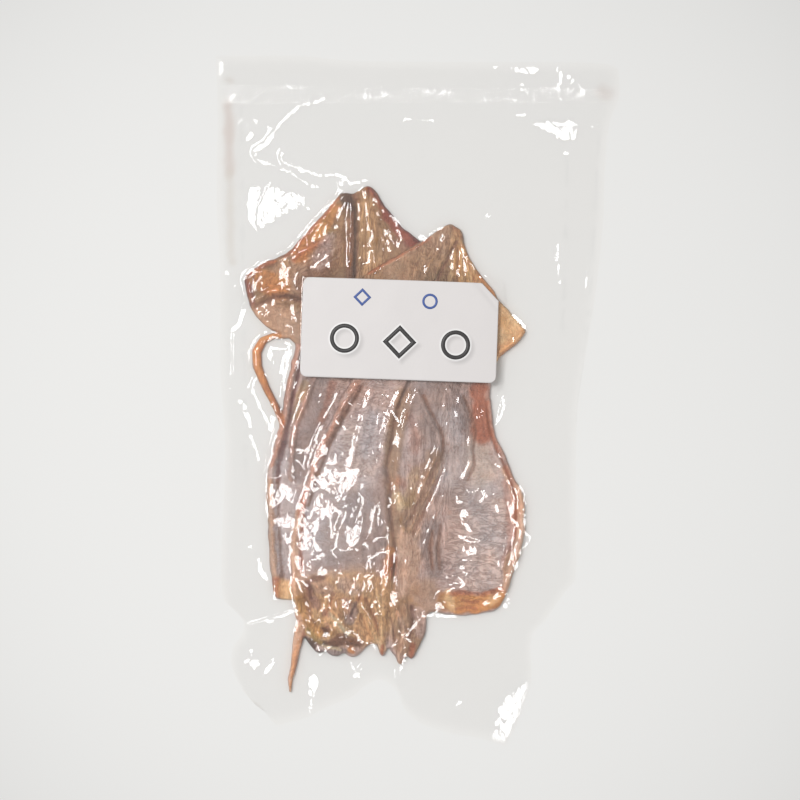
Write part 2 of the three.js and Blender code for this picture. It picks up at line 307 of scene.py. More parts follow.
# The film: its gloss, its milk, the knurls of its welds, and how its mirrors are broken up.
FILM_GLOSS = 0.055
FILM_ROUGHNESS = 0.05
FILM_MILK = (0.9, 0.88, 0.87, 1)
KNURL_TURN = 45
KNURL_SCALE = 330
KNURL_SHARE = 0.3
RIPPLE_HEIGHT = 0.3
FILM_BUMP = (0.5, 0.0004)
RAGGEDNESS = 1.5
SWIRL_STEEPNESS = 13.0
SWIRL_LIMIT = 0.85
SWIRL_MIDDLE = 0.83
MIRROR_RANGE = (0.46, 0.6, 0.0, 0.95)
GRAZING_POWER = 5

# The paper and the ink: how far they vary.
BLOTCHED_PULP = 0.5
PAPER_RANGE = (0.0, 1.0, 0.97, 1.03)
PAPER_BUMP = (0.25, 0.0002)
INK_RANGE = (0.0, 1.0, 0.8, 1.2)

# The bag's four edges. Those of the sides are (y, x), those of the ends are (x, y).
LEFT_EDGE = [
    (-166, -67), (-161, -71), (-157, -77), (-150, -82), (-140, -86), (-131, -85), (-126, -81.5),
    (-119, -80), (-113, -85), (-107, -91), (-87, -93), (-30, -93), (12, -97), (64, -99),
    (100, -102), (142, -103), (175, -105),
]
RIGHT_EDGE = [
    (-178, 58), (-165, 64), (-149, 69), (-143, 70), (-120, 69.5), (-112, 76), (-97, 86), (-90, 91),
    (-60, 90), (-5, 89), (12, 90.5), (55, 96), (96, 99), (125, 99), (147, 100.5), (162, 105),
    (176, 104),
]
BOTTOM_EDGE = [
    (-67, -166), (-62, -171), (-56, -170), (-46, -167), (-35, -161), (-22, -155), (-17, -150),
    (-8, -146), (0, -151), (5, -161), (14, -168), (32, -173), (47, -175), (53, -177), (58, -178),
]
TOP_EDGE = [
    (-105, 175), (-61, 176.5), (-35, 175), (-4, 175.5), (43, 177), (74, 178), (96, 178), (104, 176),
]

# The lower and upper line of the top seal, at its left and its right end.
SEAL_LEFT = (151, 159)
SEAL_RIGHT = (158, 165)

# The squid's outlines, clockwise from the point of the fins.
BACK_OUTLINE = [
    (-24.5, 110.5), (-21.5, 109.5), (-18.5, 105.5), (-15, 101), (-11.5, 96), (-5, 89), (4.5, 82),
    (15, 75.5), (20.5, 60.5), (20, 40), (30, 0), (44, -50), (40, -96), (0, -104), (-53.5, -106),
    (-60, -106.5), (-65, -106), (-66.5, -96.5), (-68, -86), (-69.5, -65), (-71.5, -45),
    (-70, -35.5), (-68, -24.5), (-64.5, -13), (-63, 2), (-60.5, 16.5), (-57.5, 26), (-62, 30),
    (-70, 32.5), (-77, 37.5), (-81, 42), (-84, 47.5), (-85.5, 54), (-86, 61), (-83, 64),
    (-77.5, 68), (-71.5, 70.5), (-66, 72.5), (-61.5, 76), (-57.5, 82), (-52.5, 88), (-45.5, 96),
    (-39.5, 104), (-37, 106), (-32, 106), (-29, 107.5),
]
FRONT_OUTLINE = [
    (19.5, 92), (23, 91), (26, 88.5), (26.5, 83.5), (29, 76.5), (33.5, 70), (38.5, 64), (43, 58),
    (47, 52.5), (54, 45.5), (58.5, 41), (61.5, 38), (59.5, 34), (53, 28.5), (47, 23.5), (47, 23),
    (43, 8), (44.5, -7), (48, -19.5), (52, -26), (54.5, -32.5), (57.5, -39.5), (61, -43),
    (63.5, -49.5), (64, -66), (63, -75.5), (58.5, -87.5), (56, -98), (54, -104), (50, -107.5),
    (43, -109.5), (32.5, -111.5), (21.5, -110), (14.5, -110), (15, -119.5), (12, -127.5),
    (7.5, -135.5), (5, -132.5), (1.5, -139.5), (-2.5, -131.5), (-5, -128), (-8, -135),
    (-11.5, -126.5), (-16, -129), (-19.5, -133.5), (-24.5, -135), (-28, -132), (-31, -135),
    (-35, -134), (-37.5, -132), (-41.5, -133.5), (-44.5, -130), (-47.5, -127.5), (-51.5, -123),
    (-53.5, -112.5), (-56.5, -99), (-57.5, -86.5), (-57.5, -73.5), (-56, -60.5), (-53, -54.5),
    (-49.5, -40.5), (-46, -27), (-40.5, -16.5), (-36, -5), (-29, 8), (-21, 25), (-30, 41),
    (-31, 46), (-30, 56), (-23, 65), (-9, 73), (2, 80), (9, 85.5), (14.5, 89),
]

# Strands that lie beside the sheets, as (x, y, half width).
BACK_STRANDS = [
    [(-63, -16, 1.7), (-67.5, -6, 1.8), (-73, 3.5, 1.9), (-78, 14.5, 2.3), (-78.5, 22, 2.4),
        (-75.5, 28, 2), (-70.5, 30.5, 1.6), (-63, 31, 1.6)],
]
FRONT_STRANDS = [
    [(-49, -114, 3.4), (-51, -123, 2.8), (-52.5, -131, 2.2), (-53.5, -140, 1.6), (-55, -147, 1.3),
        (-55, -153.5, 0.5)],
]

# Relief of the back squid: (half width, rise, path).
BACK_RELIEF = [
    # left rim of the mantle, with the groove inside it
    (1.9, 1.7, [(-56, 25), (-59, 14.5), (-61, 2.5), (-62.5, -12), (-65.5, -24), (-68, -35),
        (-69, -45), (-67.5, -65), (-66, -86), (-63, -105)]),
    (1.7, -0.9, [(-54, 23), (-56, 12.5), (-58.5, -1.5), (-59.5, -13), (-62, -26), (-64.5, -36.5),
        (-64.5, -45), (-63.5, -65), (-61.5, -85.5), (-59.5, -104.5)]),
    # strip beside it, and the hollow between them
    (1.5, 1.5, [(-47.5, 10.5), (-50.5, 2), (-54, -8), (-57, -16.5), (-58, -27), (-58, -43)]),
    (2.0, -1.3, [(-52, 8.5), (-55.5, -2), (-58.5, -11.5)]),
    # midline of the fins
    (1.4, 0.9, [(-32, 101), (-31.5, 87), (-31.5, 70.5), (-33, 56)]),
    (1.2, -0.8, [(-29.5, 102.5), (-29, 86), (-29, 70.5), (-29.5, 58.5)]),
    (1.2, -0.5, [(-34.5, 100), (-34.5, 84.5), (-34.5, 66)]),
    # rolled border and fold of the left fin
    (1.3, 0.8, [(-39, 102), (-44.5, 94.5), (-51.5, 86.5), (-56.5, 80.5), (-60.5, 74.5), (-65.5, 71),
        (-70.5, 69), (-77.5, 66), (-82.5, 63)]),
    (1.5, 0.9, [(-61, 70.5), (-56, 75), (-50.5, 78), (-45, 81), (-41, 83.5)]),
    (1.2, -0.5, [(-58.5, 68), (-51.5, 74), (-44.5, 78.5)]),
    # lobe: ribs of its left border, and the crease that parts it
    (0.9, 0.9, [(-84, 61), (-84, 54), (-82.5, 47)]),
    (0.8, 0.7, [(-80, 62.5), (-81, 56), (-80, 49)]),
    (1.6, 0.9, [(-79, 49), (-73, 53.5), (-64.5, 55), (-56, 54)]),
    (1.4, -1.3, [(-81, 44), (-75.5, 48), (-70.5, 50.5), (-64, 51.5), (-56, 50)]),
    (1.1, 0.5, [(-76.5, 41), (-69.5, 43), (-62, 40), (-56.5, 36)]),
    # folds of the right fin
    (1.2, 0.6, [(-24.5, 108), (-22.5, 92.5), (-20, 77), (-18, 65.5)]),
    (1.1, 0.6, [(-20, 101), (-14.5, 89.5), (-10.5, 77.5)]),
    (1.0, 0.6, [(-15, 100), (-8.5, 90), (0, 83)]),
    (1.2, 0.8, [(-22.5, 108), (-17, 101.5), (-11, 94), (-4, 87)]),
]

# Relief of the front squid: (half width, rise, path).
FRONT_RELIEF = [
    # left rim and the groove inside it
    (1.9, 1.9, [(-26.5, 7), (-33, -5), (-38, -16), (-43.5, -28), (-47.5, -41), (-50.5, -54.5),
        (-53.5, -61), (-55.5, -74), (-55.5, -86.5), (-54.5, -99), (-51.5, -111)]),
    (1.5, -1.1, [(-22, 7.5), (-29, -5.5), (-34.5, -17), (-39.5, -28.5), (-43.5, -42), (-47, -55.5),
        (-50, -63.5), (-51.5, -75), (-51.5, -90.5)]),
    # right rim: two rolls and the grooves between and inside them
    (1.5, 1.7, [(43.5, 5.5), (45, -7.5), (48.5, -19), (53, -26), (56, -33.5), (60.5, -44.5),
        (62, -51.5), (62.5, -65.5), (61, -75.5), (57, -87.5), (54.5, -97)]),
    (1.2, -0.7, [(42, 1), (43.5, -12), (47.5, -23), (52, -31), (56, -40), (59.5, -50), (60, -65),
        (57.5, -76.5), (54.5, -88)]),
    (1.3, 1.2, [(40.5, -4), (42.5, -16), (46.5, -26), (51, -34), (55, -42.5), (57, -52), (57.5, -65),
        (55, -77), (52.5, -86)]),
    (1.5, -0.6, [(39, -19.5), (44, -29), (49, -37.5), (53, -48), (54.5, -61), (53, -74)]),
    # lower right border
    (2.6, 0.9, [(52.5, -102.5), (44, -106), (34, -107.5), (24.5, -105.5)]),
    (1.5, -0.5, [(49, -97.5), (39.5, -100), (30.5, -99)]),
    # the channel down the middle, and the rolls at its sides
    (1.5, -1.3, [(1, 9), (-1.5, 3), (-4, -4), (-6, -14.5), (-7, -24.5), (-9, -35.5), (-6.5, -46),
        (-7, -53.5), (-4, -71.5), (-2.5, -78.5)]),
    (2.0, 0.8, [(-2.5, 6), (-6.5, -4.5), (-10, -16), (-11, -26.5), (-12.5, -36), (-10.5, -46.5),
        (-10, -54.5), (-8, -68)]),
    (2.2, 0.9, [(5, 4), (1, -5.5), (-1.5, -16), (-3, -26.5), (-4, -37), (-2, -47), (-1, -58.5),
        (0.5, -68)]),
    (1.8, 1.5, [(-6, -73.5), (-6.5, -84), (-8, -94), (-8, -106), (-8.5, -120), (-8, -132.5)]),
    (1.2, -1.4, [(-3.5, -81), (-3.5, -91.5), (-4.5, -104.5), (-5, -117.5), (-5.5, -126.5)]),
    (3.2, 0.9, [(1.5, -68), (4, -79), (3.5, -91.5), (1.5, -103.5)]),
    # folds of the right half
    (1.3, 1.1, [(6, 4), (9.5, -4.5), (13.5, -12), (17.5, -18), (18, -24.5), (15, -32.5),
        (10.5, -41.5)]),
    (1.2, -0.8, [(9, 2), (13, -6), (17, -12.5), (20.5, -19.5), (20.5, -26.5), (17.5, -35)]),
    (2.0, -1.0, [(3, -9.5), (5, -17.5), (6, -25)]),
    (1.1, 0.9, [(27, 2.5), (31, -6.5), (34, -15), (33.5, -24.5), (34.5, -32), (31, -41)]),
    (1.0, -0.6, [(29.5, 3), (34, -6.5), (37, -15.5), (36, -25), (37, -32.5)]),
    (0.9, 0.6, [(21, 7.5), (27, 0.5), (31.5, -9.5)]),
    (0.9, 0.6, [(26.5, 8), (32.5, -1), (35.5, -11.5)]),
    (0.9, 0.6, [(31.5, 8), (37, -1), (39.5, -11.5)]),
    (0.9, 0.5, [(24, -10), (25, -23), (24, -36)]),
    (0.9, 0.5, [(20, -2), (23.5, -15), (23, -28)]),
    # the bundle that crosses the middle
    (0.8, 0.6, [(16.5, -28.5), (11.5, -41.5), (7, -53), (1.5, -63.5)]),
    (0.8, 0.6, [(19, -32), (14.5, -44.5), (9, -56), (4.5, -66.5)]),
    (0.8, 0.6, [(21.5, -36), (17.5, -47.5), (12.5, -59), (7.5, -71)]),
    (0.8, 0.5, [(23.5, -42), (20.5, -52.5), (16, -63), (12, -75.5)]),
    (0.9, -0.6, [(21.5, -62), (18.5, -75), (19.5, -88)]),
    (0.9, -0.6, [(15.5, -65), (15, -77), (16.5, -87)]),
    (3.0, 0.9, [(-1, -52.5), (0.5, -54.5)]),
    # faint lengthwise folds of the left half
    (2.4, 0.7, [(-18, 3.5), (-22.5, -14), (-27, -32.5), (-29.5, -53.5), (-30.5, -74)]),
    (1.6, -0.5, [(-13, -0.5), (-17, -16.5), (-21, -35), (-22.5, -53)]),
    (1.3, 0.5, [(-14, -55.5), (-14.5, -68.5), (-15.5, -84), (-16.5, -99.5)]),
    (1.2, 0.5, [(-20, -58), (-20.5, -71), (-21, -84.5)]),
    # fins: the midline crease, lengthwise streaks and rolled borders
    (1.4, 0.8, [(19, 88), (15.5, 80.5), (10.5, 72), (6.5, 62.5)]),
    (1.2, -0.9, [(23.5, 84), (19.5, 75.5), (15, 67), (12.5, 60.5)]),
    (0.8, 0.5, [(22.5, 80.5), (22.5, 72.5), (21.5, 61)]),
    (0.8, 0.5, [(25.5, 78.5), (26, 70.5), (26, 61)]),
    (0.8, 0.5, [(29, 75.5), (29.5, 68.5), (30, 60)]),
    (0.8, 0.4, [(32.5, 69.5), (33.5, 64.5), (34, 60)]),
    (1.2, 0.8, [(25.5, 86), (26.5, 81.5), (30.5, 73), (36, 66), (42, 58)]),
    (1.2, 0.6, [(-22, 64), (-9.5, 71), (1.5, 78), (9.5, 84)]),
    (1.3, 0.6, [(60, 36.5), (53.5, 30.5), (47.5, 26)]),
    (1.2, 0.6, [(49.5, 48.5), (55.5, 42), (60, 37.5)]),
    # the shrivelled head: folds, the curl of the eye, the fringe
    (1.6, 1.1, [(-48.5, -100), (-45.5, -107), (-42, -114.5), (-39.5, -120.5)]),
    (1.4, -0.9, [(-45.5, -98.5), (-41.5, -106), (-38.5, -113)]),
    (1.7, 1.0, [(-45, -96.5), (-40.5, -100.5), (-35.5, -99.5)]),
    (1.2, 1.2, [(-41.5, -120.5), (-39.5, -117.5), (-36, -118), (-34, -121), (-36, -125.5),
        (-40, -125), (-41.5, -121.5)]),
    (1.4, -1.4, [(-39, -121), (-36.5, -121.5), (-37.5, -123.5)]),
    (1.4, 1.0, [(-36, -108.5), (-31.5, -114), (-27, -120), (-24, -126)]),
    (1.3, 0.9, [(-29, -103.5), (-25.5, -111.5), (-21.5, -119.5), (-19.5, -127)]),
    (1.2, 0.8, [(-21.5, -100), (-18.5, -109), (-15.5, -118), (-12.5, -125.5)]),
    (1.1, 0.8, [(-15, -97), (-13, -106), (-10.5, -115)]),
    (1.3, -0.9, [(-32, -105.5), (-28, -113.5), (-24, -121)]),
    (1.2, -0.9, [(-24.5, -101), (-21, -110.5), (-18, -118.5)]),
    (2.2, 1.3, [(-36.5, -126.5), (-29, -124.5), (-21, -126.5)]),
    (1.5, 1.3, [(-24.5, -131), (-23, -131.5)]),
    (0.8, 1.0, [(-53.5, -105), (-51, -112), (-48, -118.5), (-47, -123.5)]),
    (0.8, -1.2, [(-49, -104), (-46.5, -111), (-44, -117.5)]),
    (0.8, 1.0, [(-37.5, -103.5), (-39, -109), (-42, -114)]),
    (0.8, -1.1, [(-34.5, -102.5), (-36, -108.5), (-38, -114)]),
    (0.8, 1.1, [(-33.5, -117), (-28.5, -122), (-25, -126.5)]),
    (0.8, -1.2, [(-20, -102), (-23, -108.5), (-25, -113.5)]),
    (0.8, 1.0, [(-17.5, -103), (-20, -110.5), (-21.5, -116.5)]),
    (0.8, 1.1, [(-20, -105), (-15.5, -114), (-11, -124.5), (-8.5, -131.5)]),
    (0.8, -1.1, [(-17.5, -104), (-13, -113), (-9.5, -122.5)]),
    (0.8, 0.9, [(-11.5, -99.5), (-10, -111), (-9, -121.5)]),
    (0.8, -1.0, [(-4, -113.5), (-2.5, -120), (-1.5, -126)]),
    (0.8, 1.0, [(-0.5, -109.5), (3, -119), (2, -130.5)]),
    (0.8, -1.0, [(6.5, -107), (7.5, -115.5), (5.5, -125)]),
    (1.0, 1.2, [(-46, -127), (-41.5, -128), (-38, -131.5)]),
    (1.0, -1.2, [(-44.5, -130.5), (-37, -129), (-31, -129.5)]),
    (0.8, 1.0, [(-39, -129), (-34, -130), (-29.5, -131)]),
    # the flap at the lower right
    (1.6, 0.9, [(2.5, -107.5), (5, -117), (6.5, -127.5)]),
    (1.3, 0.7, [(-1.5, -107.5), (0, -120), (1.5, -133)]),
    (1.3, 0.7, [(9.5, -109), (11, -118.5), (10, -127.5)]),
]

# Fine wrinkles: (centre and radii of the patch, turn in degrees, length, spacing, rise).
BACK_WRINKLES = [
    ((-44, 75, 13, 10), 35, 5, 1.8, 0.45),
    ((-36, 92, 14, 7), 60, 6, 2.0, 0.35),
    ((-26, 84, 6, 26), 88, 12, 1.6, 0.35),
    ((-16, 88, 6, 24), 95, 14, 1.7, 0.4),
    ((-2, 82, 10, 14), 110, 8, 2.0, 0.4),
    ((-62, 62, 16, 12), 70, 7, 2.2, 0.3),
    ((-68, 44, 14, 9), 30, 6, 2.2, 0.35),
    ((-60, -20, 9, 50), 92, 9, 1.8, 0.35),
    ((-48, -5, 14, 22), 80, 6, 2.0, 0.4),
]
FRONT_WRINKLES = [
    ((6, 74, 14, 10), 145, 9, 1.5, 0.45),
    ((22, 72, 10, 14), 95, 12, 1.7, 0.35),
    ((-25, -20, 22, 34), 100, 6, 2.4, 0.3),
    ((-30, -60, 24, 40), 100, 7, 2.6, 0.35),
    ((25, -10, 16, 26), 80, 8, 1.8, 0.45),
    ((22, -50, 20, 34), 98, 10, 1.8, 0.4),
    ((40, -65, 18, 22), 15, 7, 1.9, 0.35),
    ((38, -88, 22, 16), 4, 8, 2.0, 0.5),
    ((20, -84, 12, 18), 70, 6, 1.6, 0.5),
    ((-10, -80, 14, 26), 84, 10, 1.7, 0.5),
    ((-28, -114, 28, 20), 110, 8, 1.9, 1.0),
    ((0, -122, 12, 16), 85, 9, 1.6, 0.8),
    ((-36, -126, 16, 8), 20, 4, 1.4, 0.7),
]

# How the flesh is drawn: (centre and radii, crosswise ripples, lengthwise fibres, crumple).
WEAVE = [
    ((0, 0, 400, 400), 0.15, 0.15, 0.45),
    ((-25, -10, 22, 40), 0.8, 0.0, 0.5),
    ((-30, -75, 24, 30), 0.5, 0.2, 0.4),
    ((36, -72, 26, 40), 1.0, 0.0, 0.3),
    ((42, -30, 14, 24), 0.4, 0.2, 0.4),
    ((12, -50, 16, 50), 0.0, 0.9, 0.4),
    ((26, -5, 12, 26), 0.1, 0.8, 0.5),
    ((-8, -92, 14, 20), 0.0, 1.0, 0.3),
    ((-28, -114, 32, 24), 0.1, 1.0, 0.9),
    ((4, -122, 12, 20), 0.0, 0.9, 0.6),
    ((-64, -45, 12, 70), 0.5, 0.1, 0.5),
    ((-60, 72, 28, 34), 0.4, 0.3, 1.1),
    ((-24, 85, 14, 36), 0.0, 1.1, 0.6),
    ((20, 75, 26, 26), 0.1, 1.0, 0.7),
]

# Colours as the photograph shows them through the film, in sRGB.
HUES = {
    "mauve": (187, 161, 153), "lavender": (192, 176, 173), "grey": (150, 131, 126),
    "pale": (205, 185, 172), "tan": (194, 157, 133), "pink": (190, 148, 132),
    "amber": (198, 138, 92), "gold": (200, 150, 98), "ochre": (200, 158, 118),
    "rust": (172, 108, 82), "red": (150, 84, 74), "brown": (140, 103, 86), "dark": (98, 78, 69),
    "terracotta": (164, 104, 82), "olive": (170, 141, 92), "blush": (201, 179, 171),
    "rim": (210, 172, 148), "straw": (222, 182, 138), "umber": (160, 126, 98),
    "cream": (222, 202, 170), "plum": (126, 84, 80),
}
GROUND = "mauve"

# Soft strokes of paint: (hue, half width, softness, strength, path). Many dark strokes lie in the
# grooves of the relief and many pale ones on its ridges: besides the flesh's own colour, they paint
# shade into the grooves and highlights onto the ridges.
BACK_PAINT = [
    ("umber", 34, 10, 1.0, [(-43, 89.5), (-57.5, 69.5), (-73, 57)]),
    ("umber", 30, 10, 1.0, [(-23, 95), (-5.5, 71.5)]),
    ("tan", 9, 8, 0.6, [(-58, 74.5), (-65, 57.5)]),
    ("brown", 6, 6, 0.7, [(-41, 73.5), (-48, 64.5), (-55.5, 57.5)]),
    ("amber", 4.5, 3, 0.95, [(-41.5, 97), (-47, 89), (-53, 80), (-58, 73)]),
    ("olive", 2, 3, 0.5, [(-42, 85.5), (-44.5, 82.5)]),
    ("amber", 6, 4, 0.95, [(-77, 59.5), (-73, 57), (-67, 55.5)]),
    ("gold", 2.5, 4, 0.6, [(-65.5, 69), (-65.5, 60)]),
    ("gold", 3.5, 3, 0.7, [(-43, 96), (-46, 88.5), (-49, 83.5)]),
    ("brown", 1.2, 2, 0.6, [(-39.5, 81.5), (-46.5, 73), (-53.5, 65.5), (-57.5, 58)]),
    ("plum", 1.0, 2, 0.5, [(-36.5, 87), (-38, 73.5), (-38.5, 60)]),
    ("rust", 1.2, 1.2, 0.8, [(-39, 103), (-45, 95.5), (-52, 87.5), (-57, 81.5), (-61, 75.5),
        (-65.5, 72)]),
    ("rust", 1.5, 1.4, 0.7, [(-61, 70.5), (-56, 75), (-50.5, 78), (-43.5, 81.5)]),
    ("mauve", 4, 3, 0.7, [(-48.5, 70), (-43.5, 77.5), (-40.5, 81.5)]),
    ("brown", 3.5, 3, 0.85, [(-31.5, 102.5), (-31, 84.5), (-31.5, 61)]),
    ("dark", 0.8, 1, 0.8, [(-29.5, 100), (-29.5, 82), (-29, 59)]),
    ("dark", 3.2, 1.5, 0.85, [(-35.5, 104), (-33, 100), (-34.5, 95.5)]),
    ("red", 0.7, 1.0, 0.85, [(-82.5, 64.5), (-84, 59), (-83, 53), (-81, 47), (-79, 42.5)]),
    ("plum", 0.5, 0.8, 0.7, [(-77.5, 69), (-72.5, 71), (-66, 72)]),
    ("pale", 4.0, 4, 0.5, [(-59, -26), (-59.5, -41.5)]),
    ("blush", 0.4, 0.5, 0.6, [(-48.5, 72), (-42.5, 75.5), (-36, 78.5)]),
    ("blush", 0.4, 0.5, 0.6, [(-51.5, 66.5), (-44, 69), (-37, 73.5)]),
    ("blush", 0.4, 0.5, 0.5, [(-41.5, 85.5), (-39.5, 79.5), (-41, 73)]),
    ("straw", 0.5, 0.8, 0.6, [(-25.5, 101), (-26.5, 87), (-26.5, 70.5)]),
    ("straw", 0.5, 0.8, 0.6, [(-23, 100), (-22, 86.5), (-22.5, 69.5)]),
    ("umber", 4, 4, 0.7, [(-36.5, 94.5), (-37, 76.5), (-37.5, 61)]),
    ("ochre", 4.5, 3, 0.6, [(-24.5, 100.5), (-23, 85), (-20, 66.5)]),
    ("rust", 1.6, 2, 0.7, [(-23.5, 109), (-18.5, 103), (-14, 97)]),
    ("umber", 4, 4, 0.6, [(-14.5, 86.5), (-11, 73), (-8.5, 64.5)]),
    ("red", 4, 2.5, 0.85, [(-11.5, 94), (-5.5, 87.5), (1, 82.5)]),
    ("plum", 2.5, 3, 0.4, [(-8, 82.5), (-4, 78.5)]),
    ("plum", 1, 1.2, 0.8, [(-23.5, 109.5), (-15, 100.5), (-5.5, 89), (3.5, 82)]),
    ("plum", 1.3, 1.2, 0.9, [(-85.5, 61.5), (-85.5, 54), (-83, 46.5)]),
    ("plum", 0.8, 1, 0.8, [(-81, 62), (-82, 55), (-80.5, 48)]),
    ("rust", 1.5, 1.5, 0.8, [(-85, 62), (-79.5, 65.5), (-71, 69.5)]),
    ("brown", 1.8, 1.6, 0.9, [(-80, 45.5), (-74.5, 48.5), (-70, 51), (-63.5, 52), (-56, 50)]),
    ("tan", 8, 6, 0.8, [(-73.5, 40), (-62, 36.5), (-56.5, 34)]),
    ("grey", 12, 10, 0.15, [(-57.5, -2.5), (-59.5, -23)]),
    ("lavender", 8, 6, 0.9, [(-62.5, -28.5), (-61.5, -44), (-59.5, -70), (-57.5, -85.5)]),
    ("pink", 2, 1.2, 0.9, [(-56.5, 25.5), (-59.5, 14.5), (-61.5, 1.5), (-63, -13), (-66, -24.5),
        (-68.5, -35.5)]),
    ("tan", 2, 1.2, 0.9, [(-69.5, -45), (-68, -65), (-66.5, -86), (-63.5, -105.5)]),
    ("plum", 1.1, 1, 0.85, [(-54.5, 22), (-56.5, 11.5), (-59, -1.5), (-60.5, -15), (-63, -26.5),
        (-65, -37), (-65, -45)]),
    ("brown", 0.9, 1, 0.7, [(-65, -45), (-64, -65), (-62, -85.5), (-61, -96)]),
    ("straw", 5, 2.5, 0.95, [(-60, -101), (-55, -102)]),
    ("rust", 1.6, 1.6, 0.7, [(-64.5, -96), (-63.5, -105)]),
    ("pink", 1.8, 1.4, 0.85, [(-47.5, 10.5), (-50.5, 2), (-54, -8), (-57, -16.5), (-58, -27),
        (-58, -43)]),
    ("olive", 2.2, 2, 0.45, [(-53, 6), (-56, -3.5), (-58, -11.5)]),
    ("grey", 6, 5, 0.8, [(-44, 6), (-45.5, -7), (-50.5, -23), (-54, -38.5)]),
    ("rust", 1.6, 2, 0.4, [(-38.5, 7.5), (-40.5, -1.5), (-43.5, -12)]),
    ("amber", 2.6, 1.4, 0.95, [(-65, -13), (-71, -0.5), (-77, 12.5), (-79, 22), (-75.5, 28),
        (-69.5, 30.5)]),
    ("rust", 1, 1, 0.7, [(-63, -15), (-68.5, -3.5), (-73.5, 4.5)]),
    ("rust", 0.8, 1, 0.6, [(-75.5, 17), (-76.5, 23), (-73.5, 27)]),
]
